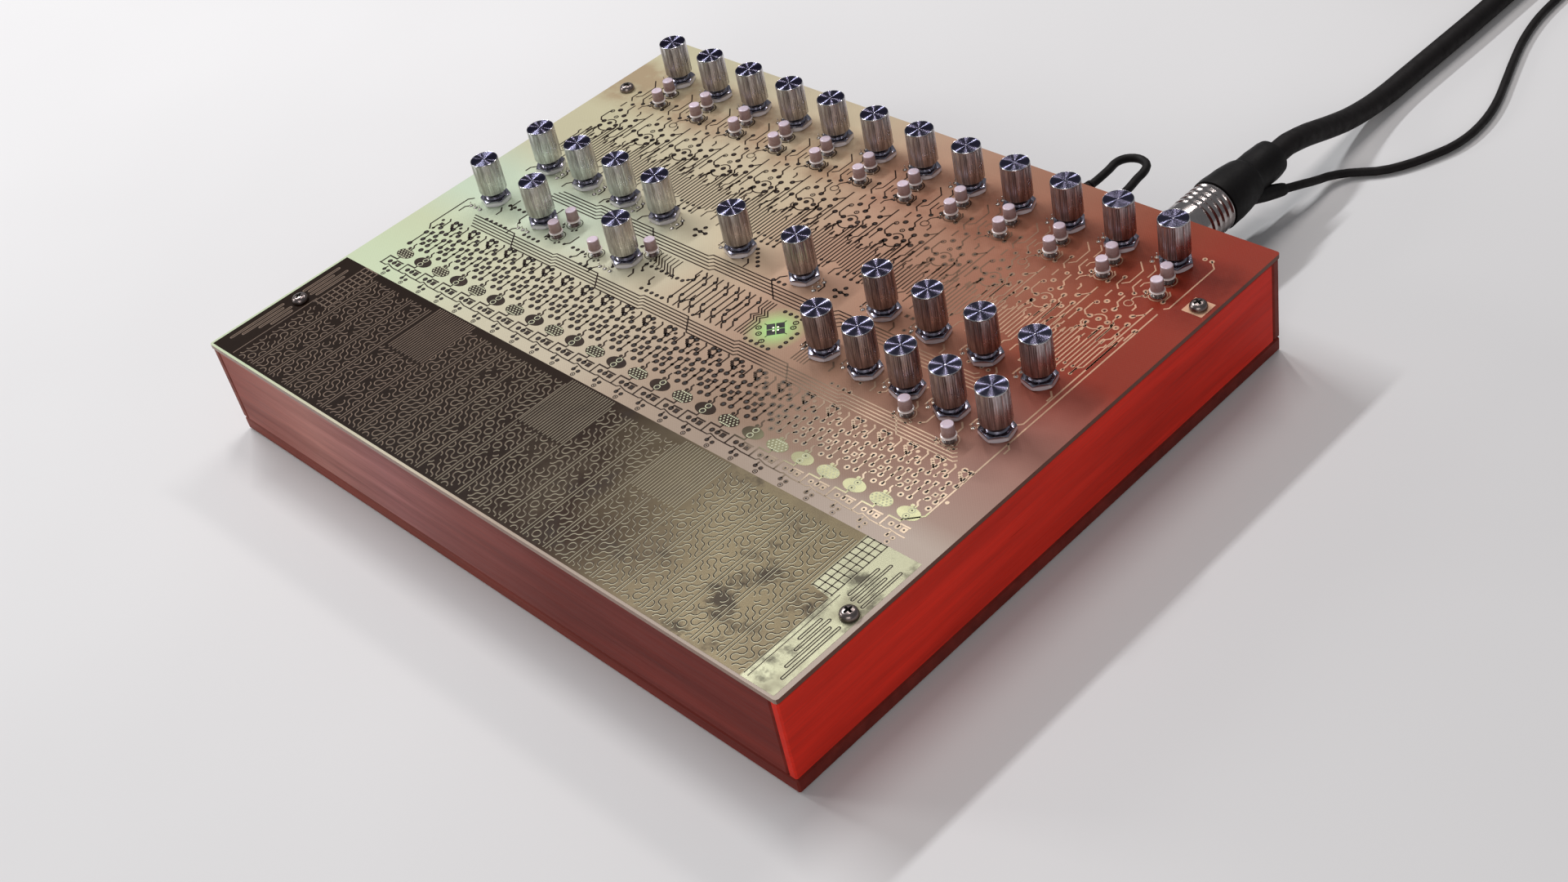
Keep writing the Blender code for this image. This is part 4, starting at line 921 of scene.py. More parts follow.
def draw_voice_circuits(board):
    """The parts of one voice, repeated at each knob of the back row."""
    copper = board.copper
    for number, knob in enumerate(voice_knobs):
        x = knob.x / MM
        for dx, y in ((-6.5, 63.4), (-2.2, 61.3), (4.4, 61.3), (0.9, 59.2), (5.5, 57.5),
                      (9.2, 56.0), (-6.5, 55.2), (-3.4, 55.2), (-0.1, 55.2), (-5.7, 52.3),
                      (-0.4, 52.3), (3.6, 54.4)):
            board.pad(x + dx, y, 1.02)
        for dx, y in ((-8.8, 61.5), (-4.3, 59.3)):
            board.ring(x + dx, y, 0.78, 0.36)
            board.holes.oval(x + dx, y, 0.3, sides=8)
        if number % 2:
            board.ring(x - 0.5, 66.0, 1.45, 0.34)
        copper.arc(x - 3.3, 55.2, 2.35, 20, 160, 0.5, 8)
        copper.arc(x - 3.1, 53.4, 3.1, 195, 345, 0.5, 9)
        for route in ([(-8.8, 61.5), (-9.6, 60.7), (-9.6, 56.6), (-8.2, 55.2), (-6.5, 55.2)],
                      [(4.4, 61.3), (7.1, 64.0), (7.1, 67.7)], [(7.1, 64.0), (7.1, 46.0)],
                      [(0.9, 59.2), (0.9, 56.6), (2.2, 55.3), (2.2, 46.5)],
                      [(5.5, 57.5), (5.5, 49.5), (4.4, 48.4), (4.4, 46.0)],
                      [(-2.2, 61.3), (-2.2, 63.2), (-3.6, 64.6), (-3.6, 68.4)],
                      [(-5.7, 52.3), (-5.7, 50.2), (-6.8, 49.1), (-6.8, 46.4)],
                      [(-0.4, 52.3), (-0.4, 46.2)], [(9.2, 56.0), (9.2, 50.6)],
                      [(1.6, 66.4), (2.6, 65.4), (2.6, 63.4)], [(-8.6, 68.6), (-8.6, 65.2)]):
            copper.track([(x + dx, y) for dx, y in route], 0.54)
        for foot_x, foot_y in ((x + 3.0, 80.6), (x + 4.6, 73.5)):
            for dx in (-3.6, -2.6):
                for dy in (-2.6, -0.9, 0.8):
                    board.pad(foot_x + dx, foot_y + dy, 0.52, 0.2)
            board.ring(foot_x, foot_y, 2.9, 0.4)
            copper.track([(foot_x - 3.6, foot_y - 2.6), (foot_x - 5.4, foot_y - 4.4),
                          (foot_x - 5.4, foot_y - 6.4)], 0.42)
        for route in ([(-1.8, 70.6), (-4.2, 73.0), (-4.2, 77.4)], [(8.0, 71.4), (8.0, 75.2), (6.6, 76.6)],
                      [(-9.2, 75.8), (-9.2, 71.8), (-7.4, 70.0)]):
            copper.track([(x + dx, y) for dx, y in route], 0.5)
        for dx, y in ((-1.8, 70.6), (8.0, 71.4), (-9.2, 75.8), (-5.2, 68.4), (0.4, 73.2)):
            board.pad(x + dx, y, 0.85)
        copper.track([(x - 9.8, 84.5), (x - 6.4, 81.1), (x - 6.4, 74.5), (x - 8.2, 72.7)], 0.46)
        copper.track([(x - 5.2, 85.2), (x - 3.2, 83.2), (x - 3.2, 79.0)], 0.46)
        for dy in (-2.5, 0.0, 2.5):
            board.pad(x - 7.0, 88.9 + dy, 0.8)
        copper.track([(x - 7.0, 91.4), (x - 7.0, 93.6), (x - 8.6, 95.2)], 0.46)
    board.pads(117.8, 95.3, 2)
    copper.track([(120.3, 95.3), (123.0, 92.6), (123.0, 70.0), (121.8, 68.8)], 0.5)


def draw_controls(board):
    """Pads and lines at the other knobs and buttons, and the pad under a screw."""
    for name, place in knob_places.items():
        if name.startswith("voice"):
            continue
        x, y = place.x / MM, place.y / MM
        for dx, dy in pin_offsets(name):
            board.pad(x + dx, y + dy, 0.8)
        dx, dy = pin_offsets(name)[0]
        side = 1 if dx > 0 else -1
        board.copper.track([(x + dx, y + dy), (x + dx + side * 1.6, y + dy - 1.6),
                            (x + dx + side * 1.6, y + dy - 4.6)])
        board.copper.track([(x - side * 5.6, y - 2.2), (x - side * 7.4, y - 4.0),
                            (x - side * 7.4, y - 6.4)])
    for group, places in button_groups.items():
        if "voice" in group:
            continue
        for place in places:
            x, y = place.x / MM, place.y / MM
            for dx, dy in ((-3.4, -2.2), (-2.3, -3.2), (2.3, -3.2), (3.4, -2.2)):
                board.pad(x + dx, y + dy, 0.5, 0.22)
            board.ring(x, y, 2.9, 0.28)
    board.copper.square(screw_places[3].x / MM, screw_places[3].y / MM, 3.6)
    x, y = LAMP / MM
    for dx, dy in ((-1, 0), (1, 0), (0, 1), (0, -1)):
        board.holes.square(x + 2.15 * dx, y + 2.15 * dy, 1.36, 0.5)
        board.lights.oval(x + 1.02 * dx, y + 1.02 * dy, 0.36, sides=10)
        board.copper.track([(x + 3.8 * dx, y + 3.8 * dy), (x + 4.9 * dx, y + 4.9 * dy)], 0.3)
    for dx, dy in ((4.4, 3.4), (3.4, 5.6), (-5.2, -2.4), (-3.0, -4.6), (0.4, -6.8)):
        board.ring(x + dx, y + dy, 0.85, 0.42)
        board.holes.oval(x + dx, y + dy, 0.3, sides=8)


PLATE_LEFT, PLATE_RIGHT, PLATE_FRONT, PLATE_BACK = -134.0, 133.3, -108.6, -52.4
HATCHES = ((-78.5, -59.5), (-10.0, 10.0), (42.0, 61.0))
GRIDS = ((-122.3, -115.0), (114.0, 121.3))
HATCH_FRONT = -75.0
TILE = 2.6


def plate_is_plain(x, y):
    """Where the grids, hatches and outer blocks leave no room for the keys' lines."""
    if not -121.9 < x < 121.9:
        return True
    spans = HATCHES + GRIDS
    return y > HATCH_FRONT and any(low - 0.6 < x < high + 0.6 for low, high in spans)


def draw_touch_plate():
    """A copper plate parted by thin lines into touch keys of a plain quarter-arc maze."""
    plate, gaps = Artwork(0.04), GapLines()
    plate.face([(PLATE_LEFT, PLATE_FRONT), (PLATE_RIGHT, PLATE_FRONT),
                (PLATE_RIGHT, PLATE_BACK), (PLATE_LEFT, PLATE_BACK)])
    turns = random.Random(11)
    rows = int((PLATE_BACK - PLATE_FRONT - 2.4) / TILE)
    for key in range(KEY_COUNT):
        x = (key - 11.5) * 10.16
        for row in range(rows):
            y = PLATE_FRONT + 1.2 + TILE * row
            for column in range(3):
                left = x + TILE * (column - 1.5)
                if plate_is_plain(left + TILE / 2, y + TILE / 2) or turns.random() < 0.06:
                    continue
                half = TILE / 2
                if turns.random() < 0.5:
                    gaps.arc(left, y, half, 0, 90, 0.30, 5)
                    gaps.arc(left + TILE, y + TILE, half, 180, 270, 0.30, 5)
                else:
                    gaps.arc(left + TILE, y, half, 90, 180, 0.30, 5)
                    gaps.arc(left, y + TILE, half, 270, 360, 0.30, 5)
        for offset in (-0.58, 0.58):
            rail = x + 5.08 + offset
            run = []
            for step in range(2 * rows + 1):
                y = PLATE_FRONT + 1.2 + TILE * step / 2
                if not plate_is_plain(rail, y):
                    run.append((rail, y))
                if (plate_is_plain(rail, y) or step == 2 * rows) and len(run) > 1:
                    gaps.track([run[0], run[-1]], 0.28)
                    run = []
    for low, high in HATCHES:
        count = int((high - low) / 1.1)
        for line in range(count + 1):
            x = low + 1.1 * line
            gaps.track([(x, HATCH_FRONT - (line % 2) * 0.7), (x, PLATE_BACK - 0.6)], 0.28)
    for low, high in GRIDS:
        for line in range(4):
            gaps.track([(low + 2.4 * line, HATCH_FRONT), (low + 2.4 * line, PLATE_BACK)], 0.34)
        for line in range(10):
            y = PLATE_BACK - 0.3 - 2.4 * line
            gaps.track([(low, y), (high, y)], 0.34)
    for side in (-1, 1):
        edge = 122.9 * side
        gaps.track([(edge, HATCH_FRONT + 2), (edge, PLATE_FRONT + 1)], 0.26)
        for slot, (back, front) in enumerate(((-60.5, -71.6), (-57.6, -72.6), (-62.0, -72.0),
                                              (-58.2, -73.0))):
            hairpin(gaps, side * (124.9 + 2.0 * slot), back, front)
        for slot, (back, front) in enumerate(((-82.6, -90.5), (-81.4, -94.0), (-83.4, -99.5),
                                              (-82.0, -103.0))):
            hairpin(gaps, side * (124.9 + 2.0 * slot), back, front)
    plate.piece("touch_plate", plate_copper)
    gaps.edges.piece("touch_plate_edges", gap_edge_light_and_shade)
    gaps.piece("touch_plate_gaps", gap_board)


def hairpin(gaps, x, back, front):
    gaps.track([(x - 0.42, front), (x - 0.42, back)], 0.34)
    gaps.track([(x + 0.42, front), (x + 0.42, back)], 0.34)
    gaps.arc(x, back, 0.42, 0, 180, 0.34, 6)
    gaps.arc(x, front, 0.42, 180, 360, 0.34, 6)


# Pieces on the panel
def pin_offsets(name):
    """Where a knob's three pins come through the panel, in millimetres from it."""
    kind, number = name.split("_knob_")
    number = int(number)
    if kind == "front" and number <= 3:
        return [(dx - 3.0, -7.4) for dx in (-2.5, 0.0, 2.5)]
    if kind == "middle" and number in (1, 2, 3, 4, 6):
        return [(7.2, dy - 1.0) for dy in (2.5, 0.0, -2.5)]
    return [(-7.0, dy) for dy in (2.5, 0.0, -2.5)]


def knob_mesh(side):
    """A knob with a finely ribbed side, a polished rim and a face turned on a lathe."""
    ribs = random.Random(3)
    sides = 126
    depth = [0.0 if s % 3 else (0.12 + 0.10 * ribs.random()) * MM for s in range(sides)]
    levels = [(3.05, 4.70, 0), (4.40, 4.60, 0), (4.72, 4.64, 0), (4.90, 4.90, 1),
              (4.90, 10.0, 1), (4.90, 16.26, 1), (4.80, 16.42, 0), (4.80, 16.56, 0),
              (4.88, 16.64, 0), (4.88, 16.80, 0), (4.84, 16.91, 0), (4.77, 16.98, 0),
              (4.70, 17.0, 0), (4.66, 16.985, 0), (4.62, 16.985, 0), (0.40, 16.985, 0),
              (0.36, 16.98, 0), (0.22, 16.90, 0), (0.05, 16.88, 0)]
    rings = [[((r * MM - k * depth[s]) * math.cos(2 * math.pi * s / sides),
               (r * MM - k * depth[s]) * math.sin(2 * math.pi * s / sides), z * MM)
              for s in range(sides)] for r, z, k in levels]
    knob = ring_mesh("knob_body", rings)
    for face in knob.polygons:
        height = face.center.z / MM
        if height > 16.93 and face.center.xy.length < 4.65 * MM:
            face.material_index = 2
        elif height > 16.5:
            face.material_index = 1
    shaft = turn_profile("knob_shaft", [(2.75 * MM, SHAFT_FOOT), (SHAFT_RADIUS, 3.7 * MM),
                                        (SHAFT_RADIUS, 4.75 * MM)], 40)
    for face in shaft.polygons:
        face.material_index = 1
    for finish in (side, polished, turned_face):
        knob.materials.append(finish)
    whole = joined("knob", [(knob, (0, 0, 0)), (shaft, (0, 0, 0))])
    return whole


def make_knobs():
    meshes = {tone: knob_mesh(finish) for tone, finish in knurled.items()}
    for name, place in knob_places.items():
        # Painted light and shade: the knob's place picks the lit, plain or shaded copy of the side's
        # finish.
        tone = "pale" if place.x < -0.03 and place.y < 0.05 else "plain"
        tone = "brown" if place.x > 0.04 else tone
        knob = add_piece(name + "_turned", meshes[tone], None, name, place)
        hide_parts(name)


def nut_mesh():
    """A hexagon nut whose corners are cut by a cone, top and bottom."""
    sides, crown, foot = 72, 4.75 * MM, 0.05 * MM
    corner = []
    for s in range(sides):
        angle = 2 * math.pi * s / sides
        from_flat = (angle + math.pi / 6) % (math.pi / 3) - math.pi / 6
        corner.append(NUT_FLATS / 2 / math.cos(from_flat) * 0.997)
    drop = math.tan(math.radians(32))

    def ring(radii, heights):
        return [(r * math.cos(2 * math.pi * s / sides), r * math.sin(2 * math.pi * s / sides), z)
                for s, (r, z) in enumerate(zip(radii, heights))]

    def level(radius, height):
        return ring([radius] * sides, [height] * sides)

    rings = [level(BUSHING_RADIUS, foot), level(crown, foot),
             ring(corner, [foot + max(0, r - crown) * drop for r in corner]),
             ring(corner, [NUT_TOP - 0.02 * MM - max(0, r - crown) * drop for r in corner]),
             level(crown, NUT_TOP), level(3.75 * MM, NUT_TOP), level(3.5 * MM, 2.1 * MM)]
    return smooth(ring_mesh("nut", rings, closed_ends=False), 25)


def bushing_mesh():
    profile = [(3.45 * MM, -5.2 * MM), (3.45 * MM, 0.0)]
    for turn in range(7):
        height = (0.05 + 0.45 * turn) * MM
        profile += [(3.30 * MM, height), (3.50 * MM, height + 0.22 * MM)]
    profile += [(3.2 * MM, 3.2 * MM), (3.06 * MM, 3.2 * MM), (3.06 * MM, 2.0 * MM)]
    return turn_profile("bushing", profile, 48, 20)


def box_mesh(name, low, high, rounding):
    """A block with rounded edges."""
    block = bmesh.new()
    low, high = Vector(low), Vector(high)
    bmesh.ops.create_cube(block, size=1.0, matrix=Matrix.LocRotScale(
        (low + high) / 2, None, high - low))
    bmesh.ops.bevel(block, geom=block.edges[:], offset=rounding, segments=3, affect="EDGES",
                    profile=0.5)
    mesh = bpy.data.meshes.new(name)
    block.to_mesh(mesh)
    block.free()
    return smooth(mesh)


def make_potentiometers():
    """Cans under the panel in one piece, and their bushings and nuts in another."""
    turns = random.Random(8)
    half, top, foot = 4.5 * MM, -1.9 * MM, -8.5 * MM
    can = box_mesh("can", (-half, -half, foot), (half, half, top), 0.5 * MM)
    tags = box_mesh("tags", (-half - 1.8 * MM, -3.4 * MM, foot + 0.6 * MM),
                    (-half + 0.3 * MM, 3.4 * MM, foot + 1.4 * MM), 0.15 * MM)
    nut, bushing = nut_mesh(), bushing_mesh()
    places = []
    for place in knob_places.values():
        turn = Matrix.Translation(place) @ Matrix.Rotation(turns.uniform(0, 1.05), 4, "Z")
        places += [(nut, turn), (bushing, Matrix.Translation(place))]
    cans = [(shape, place) for place in knob_places.values() for shape in (can, tags)]
    whole = add_piece("pot_cans", joined("pot_cans", cans), can_metal)
    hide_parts("potentiometers")
    add_piece("pot_nuts", joined("pot_nuts", places), plated_nut)


def make_pins():
    """Wire ends that stand in their solder on the panel."""
    pin = turn_profile("pin", [(0.62 * MM, 0.05 * MM), (0.50 * MM, 0.18 * MM),
                               (0.30 * MM, 0.50 * MM), (0.22 * MM, 0.9 * MM),
                               (0.20 * MM, 1.6 * MM), (0.08 * MM, 1.75 * MM)], 12)
    spots = []
    for name, place in knob_places.items():
        for dx, dy in pin_offsets(name):
            spots.append((pin, place + Vector((dx, dy, 0)) * MM))
    add_piece("pot_pins", joined("pot_pins", spots), solder)


button_groups = {
    "rear_voice_buttons": [spot + Vector((3.0, -8.3, 0)) * MM for spot in voice_knobs],
    "front_voice_buttons": [spot + Vector((4.6, -15.4, 0)) * MM for spot in voice_knobs]}


def find_small_groups():
    """The other buttons lie at the ends of their node's box, or alone in its middle."""
    lift = Vector((0, 0, TOP))
    for group in ("left_third_button", "left_fourth_button"):
        button_groups[group] = [Vector((*middle_of(group).xy, 0)) + lift]
    inset = Vector((CAP_FLANGE, CAP_FLANGE))
    for group in ("left_button_pair", "right_button_pair"):
        low, high = (corner.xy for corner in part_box(group))
        low, high = low + inset, high - inset
        ends = [Vector((low.x, high.y, 0)), Vector((high.x, low.y, 0))]
        button_groups[group] = [end + lift for end in ends]


def make_buttons():
    """Caps on their plungers, with the bar that joins a group beneath the panel."""
    cap = turn_profile("cap", [
        (1.4 * MM, CAP_FOOT), (2.30 * MM, CAP_FOOT), (CAP_FLANGE, 1.92 * MM),
        (CAP_FLANGE, 2.16 * MM), (2.36 * MM, 2.28 * MM), (2.13 * MM, 2.34 * MM),
        (2.08 * MM, 2.9 * MM), (CAP_RADIUS, 5.80 * MM), (1.93 * MM, 6.02 * MM),
        (1.78 * MM, 6.16 * MM), (1.55 * MM, CAP_TOP), (0.6 * MM, 6.17 * MM),
        (0.02 * MM, 6.16 * MM)], 40)
    plunger = turn_profile("plunger", [(1.2 * MM, PLUNGER_FOOT), (1.4 * MM, -2.8 * MM),
                                       (1.4 * MM, CAP_FOOT)], 24)
    for group, places in button_groups.items():
        parts = [(shape, spot) for spot in places for shape in (cap, plunger)]
        if len(places) > 1:
            run = places[-1] - places[0]
            bar = box_mesh("bar", (-run.length / 2, -MM, 0), (run.length / 2, MM, MM),
                           0.15 * MM)
            middle = (places[0] + places[-1]) / 2 + Vector((0, 0, PLUNGER_FOOT))
            turn = Matrix.Rotation(math.atan2(run.y, run.x), 4, "Z")
            parts.append((bar, Matrix.Translation(middle) @ turn))
        caps = add_piece(group + "_caps", joined(group, parts), cap_plastic, group)
        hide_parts(group)
    leg = box_mesh("leg", (-0.3 * MM, -0.12 * MM, 0.02 * MM), (0.3 * MM, 0.12 * MM, 0.9 * MM),
                   0.05 * MM)
    collar = turn_profile("collar", [(2.0 * MM, 0.04 * MM), (2.2 * MM, 0.04 * MM),
                                     (2.2 * MM, 0.2 * MM), (1.85 * MM, 0.22 * MM)], 32)
    spots = []
    for places in button_groups.values():
        for spot in places:
            for dx, dy in ((-3.1, -1.9), (-3.1, 1.6), (2.9, -1.9)):
                spots.append((leg, spot + Vector((dx, dy, 0)) * MM))
            spots.append((collar, spot))
    add_piece("switch_legs", joined("switch_legs", spots), solder)


screw_names = ["panel_screw_front_left", "panel_screw_back_left", "panel_screw_front_right",
               "panel_screw_back_right"]
screw_places = [Vector((*middle_of(name).xy, TOP)) for name in screw_names]


def carved(mesh, cutter_mesh):
    """The mesh less the cutter."""
    body = bpy.data.objects.new("body", mesh)
    cutter = bpy.data.objects.new("cutter", cutter_mesh)
    for obj in (body, cutter):
        bpy.context.scene.collection.objects.link(obj)
    cut = body.modifiers.new("cut", "BOOLEAN")
    cut.object = cutter
    cut.solver = "EXACT"
    bpy.context.view_layer.update()
    result = bpy.data.meshes.new_from_object(
        body.evaluated_get(bpy.context.evaluated_depsgraph_get()))
    for obj in (body, cutter):
        bpy.data.objects.remove(obj)
    return result


def make_screws():
    """Pan-head screws with a cross recess."""
    profile = [(0.05, -9.5), (0.7, -8.6), (1.05, -8.2)]
    for turn in range(7):
        profile += [(1.3, -7.9 + 1.1 * turn), (1.0, -7.5 + 1.1 * turn)]
    profile += [(1.2, -0.3), (1.3, 0.1), (2.55, 0.1), (2.8, 0.3), (2.78, 0.8), (2.58, 1.45),
                (2.2, 1.92), (1.6, 2.2), (0.8, 2.3), (0.05, 2.3)]
    plain = turn_profile("screw", [(r * MM, z * MM) for r, z in profile], 40)
    blades = []
    for turn in (0, math.pi / 2):
        rings = []
        for half, width, height in ((0.45, 0.24, 0.9), (1.75, 0.46, 2.6)):
            rings.append([(sx * half * MM, sy * width * MM, height * MM)
                          for sx, sy in ((-1, -1), (1, -1), (1, 1), (-1, 1))])
        blades.append((ring_mesh("blade", rings), Matrix.Rotation(turn, 4, "Z")))
    head = carved(carved(plain, joined("blade_1", blades[:1])), joined("blade_2", blades[1:]))
    smooth(head, 30)
    head.materials.clear()
    head.materials.append(screw_steel)
    head.materials.append(drilled)
    # Painted shade: the faces inside the cross recess take the near-black finish.
    for face in head.polygons:
        inside = face.center.xy.length < 1.8 * MM and face.center.z > 0.8 * MM
        if inside and (face.normal.z < 0.85 or face.center.z < 1.2 * MM):
            face.material_index = 1
    for number, (name, place) in enumerate(zip(screw_names, screw_places)):
        screw = add_piece(name + "_head", head, screw_steel, place=place)
        screw.rotation_euler.z = 0.4 + 1.3 * number
        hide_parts(name)


# Sockets and plugs at the back
def along_back(name, mesh, finish, place, slot, *nodes):
    piece = add_piece(name, mesh, finish)
    mesh.transform(Matrix.Translation(place) @ ALONG_Y)
    if nodes:
        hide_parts(*nodes)
    return piece


def barrel_profile(length, grooves, radius=8.95):
    """A connector's barrel: a rounded face, turned grooves and a rounded cable end."""
    profile = [(0.05, 0.0), (7.6, 0.0), (8.3, 0.12), (radius - 0.12, 0.5), (radius, 0.9)]
    for number in reversed(range(grooves)):
        middle = length - 1.6 - number * 2.6
        for along, share in ((-0.70, 0.0), (-0.42, 0.55), (-0.15, 0.95), (0.15, 0.95),
                             (0.42, 0.55), (0.70, 0.0)):
            profile.append((radius - 0.7 * share, middle + along))
    profile += [(radius, length - 0.5), (radius - 0.25, length), (0.05, length)]
    return [(r * MM, z * MM) for r, z in profile]


def make_back():
    axis = Vector((SOCKET_FOOT.x, 0, SOCKET_Z))
    socket = turn_profile("socket", [(r * MM, z * MM) for r, z in (
        (0.05, -14.0), (8.0, -14.0), (8.5, -13.5), (8.5, 0.05), (11.0, 0.05), (11.2, 0.3),
        (11.2, 2.3), (10.9, 2.65), (9.7, 2.7), (9.3, 2.4), (9.2, 1.4), (0.05, 1.4))], 64)
    along_back("socket_turned", socket, socket_metal, axis + SOCKET_FOOT.y * Vector((0, 1, 0)),
               "socket", "main_socket")
    low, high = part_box("main_plug")
    barrel = turn_profile("barrel", barrel_profile((high.y - low.y) / MM, 5), 72)
    along_back("plug_barrel", barrel, nickel, axis + Vector((0, low.y, 0)), "plug",
               "main_plug")
    low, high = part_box("plug_sleeve")
    along_back("sleeve_tubing", sleeve_mesh((high.y - low.y) / MM), tubing,
               axis + Vector((0, low.y, 0)), "rubber", "plug_sleeve")
    branch = turn_profile("branch", [(r * MM, z * MM) for r, z in (
        (2.6, -15.0), (2.7, -9.0), (2.5, -4.0), (2.3, -1.2), (2.05, -0.2), (1.6, 0.0),
        (0.05, 0.0))], 32)
    turn = THIN_DIRECTION.to_track_quat("Z", "Y").to_matrix().to_4x4()
    branch.transform(Matrix.Translation(THIN_START) @ turn)
    add_piece("sleeve_branch", branch, tubing)
    low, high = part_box("main_end_plug")
    length = (high.y - low.y) / MM
    profile = barrel_profile(40.0, 5)[:-3] + [(r * MM, z * MM) for r, z in (
        (8.95, 39.6), (8.7, 40.0), (8.45, 40.2), (8.3, 44.0), (7.2, 46.8), (5.6, 50.0),
        (4.7, 52.5), (4.4, length), (0.05, length))]
    centre = middle_of("main_end_plug")
    end_plug = turn_profile("end_plug", profile, 72)
    end_plug.materials.append(nickel)
    end_plug.materials.append(tubing)
    for face in end_plug.polygons:
        face.material_index = int(face.center.z > 40.05 * MM)
    along_back("end_plug_turned", end_plug, None, (centre.x, low.y, centre.z), "plug",
               "main_end_plug")
    make_link()


def sleeve_mesh(length):
    """Two layers of shrunk tubing, a little uneven, over the barrel and the cable."""
    outline = [(8.6, 0.0), (9.25, 0.05), (9.35, 0.5), (9.35, 3.4), (9.2, 6.5), (8.95, 10.0),
               (8.5, 13.6), (8.2, 16.2), (7.95, 17.0), (7.55, 17.3), (7.3, 17.8),
               (7.2, 19.0), (7.1, 22.0), (7.05, 25.0), (7.0, 28.4), (6.85, 31.0),
               (6.5, 32.6), (5.9, length - 0.6), (5.2, length), (4.1, length)]
    sides = 64
    rings = []
    for r, z in outline:
        ring = []
        for s in range(sides):
            angle = 2 * math.pi * s / sides
            ripple = 0.06 * math.sin(5 * angle + 0.55 * z) + 0.05 * math.sin(3 * angle - 0.9 * z)
            radius = (r - 0.08 + ripple * min(1.0, z / 3)) * MM
            ring.append((radius * math.cos(angle), radius * math.sin(angle), z * MM))
        rings.append(ring)
    return smooth(ring_mesh("sleeve", rings), 40)


def make_link():
    """Two small sockets with a short lead between two moulded plugs."""
    first = Vector((LINK_X, BOX_BACK, LINK_Z))
    spots = [first, first + Vector((LINK_SPACING, 0, 0))]
    jack = turn_profile("jack", [(r * MM, z * MM) for r, z in (
        (0.05, -10.0), (3.0, -10.0), (3.0, 0.05), (3.9, 0.05), (4.0, 0.2), (4.0, 1.9),
        (3.8, 2.1), (2.75, 2.1), (2.6, 1.7), (0.05, 1.7))], 40)
    housing = box_mesh("jack_housing", (-4.0 * MM, -10.0 * MM, -4.0 * MM),
                       (LINK_SPACING + 4.0 * MM, -3.3 * MM, 4.0 * MM), 0.4 * MM)
    places = [(jack, Matrix.Translation(spot) @ ALONG_Y) for spot in spots]
    places.append((housing, Matrix.Translation(first)))
    piece = add_piece("link_jacks", joined("link_jacks", places), socket_metal)
    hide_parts("link_sockets")
    outline = [(0.05, 0.0), (2.4, 0.0), (2.6, 0.3), (2.6, 8.4)]
    for rib in range(4):
        radius, height = 2.45 - 0.2 * rib, 8.9 + 1.7 * rib
        outline += [(radius - 0.35, height), (radius - 0.35, height + 0.6),
                    (radius, height + 0.8), (radius - 0.05, height + 1.4)]
    outline += [(1.75, 15.8), (1.6, 16.0), (0.05, 16.0)]
    boot = turn_profile("boot", [(r * MM, z * MM) for r, z in outline], 40)
    start = Vector((0, LINK_FOOT.y - BOX_BACK, 0))
    boots = joined("boots", [(boot, Matrix.Translation(spot + start) @ ALONG_Y)
                             for spot in spots])
    add_piece("link_boots", boots, rubber)
    path = smooth_path([LINK_FOOT + Vector(point) for point in LINK_ROUTE],
                       LINK_CABLE_RADIUS)
    lead = cord_piece("link_cord", path, LINK_CABLE_RADIUS, rubber)
    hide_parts("link_lead")
    path_length(path)


def dress(finish, *nodes):
    for node in nodes:
        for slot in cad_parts[node].material_slots:
            slot.material = finish


def make_stage():
    floor = bpy.data.meshes.new("floor")
    reach = 3.0
    floor.from_pydata([(-reach, -reach, 0), (reach, -reach, 0), (reach, reach, 0),
                       (-reach, reach, 0)], [], [(0, 1, 2, 3)])
    finish = Finish("floor_paper", {"Roughness": 0.7, "Specular IOR Level": 0.25})
    tone = finish.spread(finish.noise(3.0, 3.0), 0.3, 0.7)
    finish.set({"Base Color": finish.mix(tone, (0.63, 0.62, 0.62), (0.67, 0.66, 0.66))})
    floor.materials.append(finish.material)
    piece = bpy.data.objects.new("floor", floor)
    piece.location.z = -0.0002
    bpy.context.scene.collection.objects.link(piece)


def make_light():
    world = bpy.data.worlds.new("studio")
    world.use_nodes = True
    back = world.node_tree.nodes["Background"]
    back.inputs["Color"].default_value = (0.92, 0.95, 1.0, 1.0)
    back.inputs["Strength"].default_value = 0.24
    bpy.context.scene.world = world
    make_lamp("key_light", (-0.66, 0.06, 0.75), 1.6, (0.06, 0.80), 15.4, (0.96, 0.98, 1.0),
              streak=(0, 1, 0))
    make_lamp("top_light", (-0.23, 0.27, 0.935), 1.5, (0.05, 0.60), 4.5, (1.0, 0.96, 0.95),
              streak=(0.85, -0.53, 0))
    make_lamp("back_light", (-0.21, 0.64, 0.74), 1.6, (0.06, 0.60), 4.5, (1.0, 0.95, 0.93),
              streak=(0.95, 0.30, 0))
    make_lamp("left_light", (-0.80, -0.50, 0.33), 1.6, (0.35, 0.50), 6.0, (1.0, 0.98, 0.97))
    make_lamp("fill_light", (0.560, -0.720, 0.410), 1.8, (0.9, 0.6), 8.0, (1.0, 0.96, 0.93))
    bpy.context.scene.view_settings.view_transform = "Standard"


make_camera()

rubber = plain_finish("cable_jacket", (0.010, 0.008, 0.008), 0.5, spot=0.7, scale=240.0,
                      depth=0.00002, Specular_IOR_Level=0.16)
main_cable, main_length = make_main_cable(rubber)
make_thin_cable(rubber)
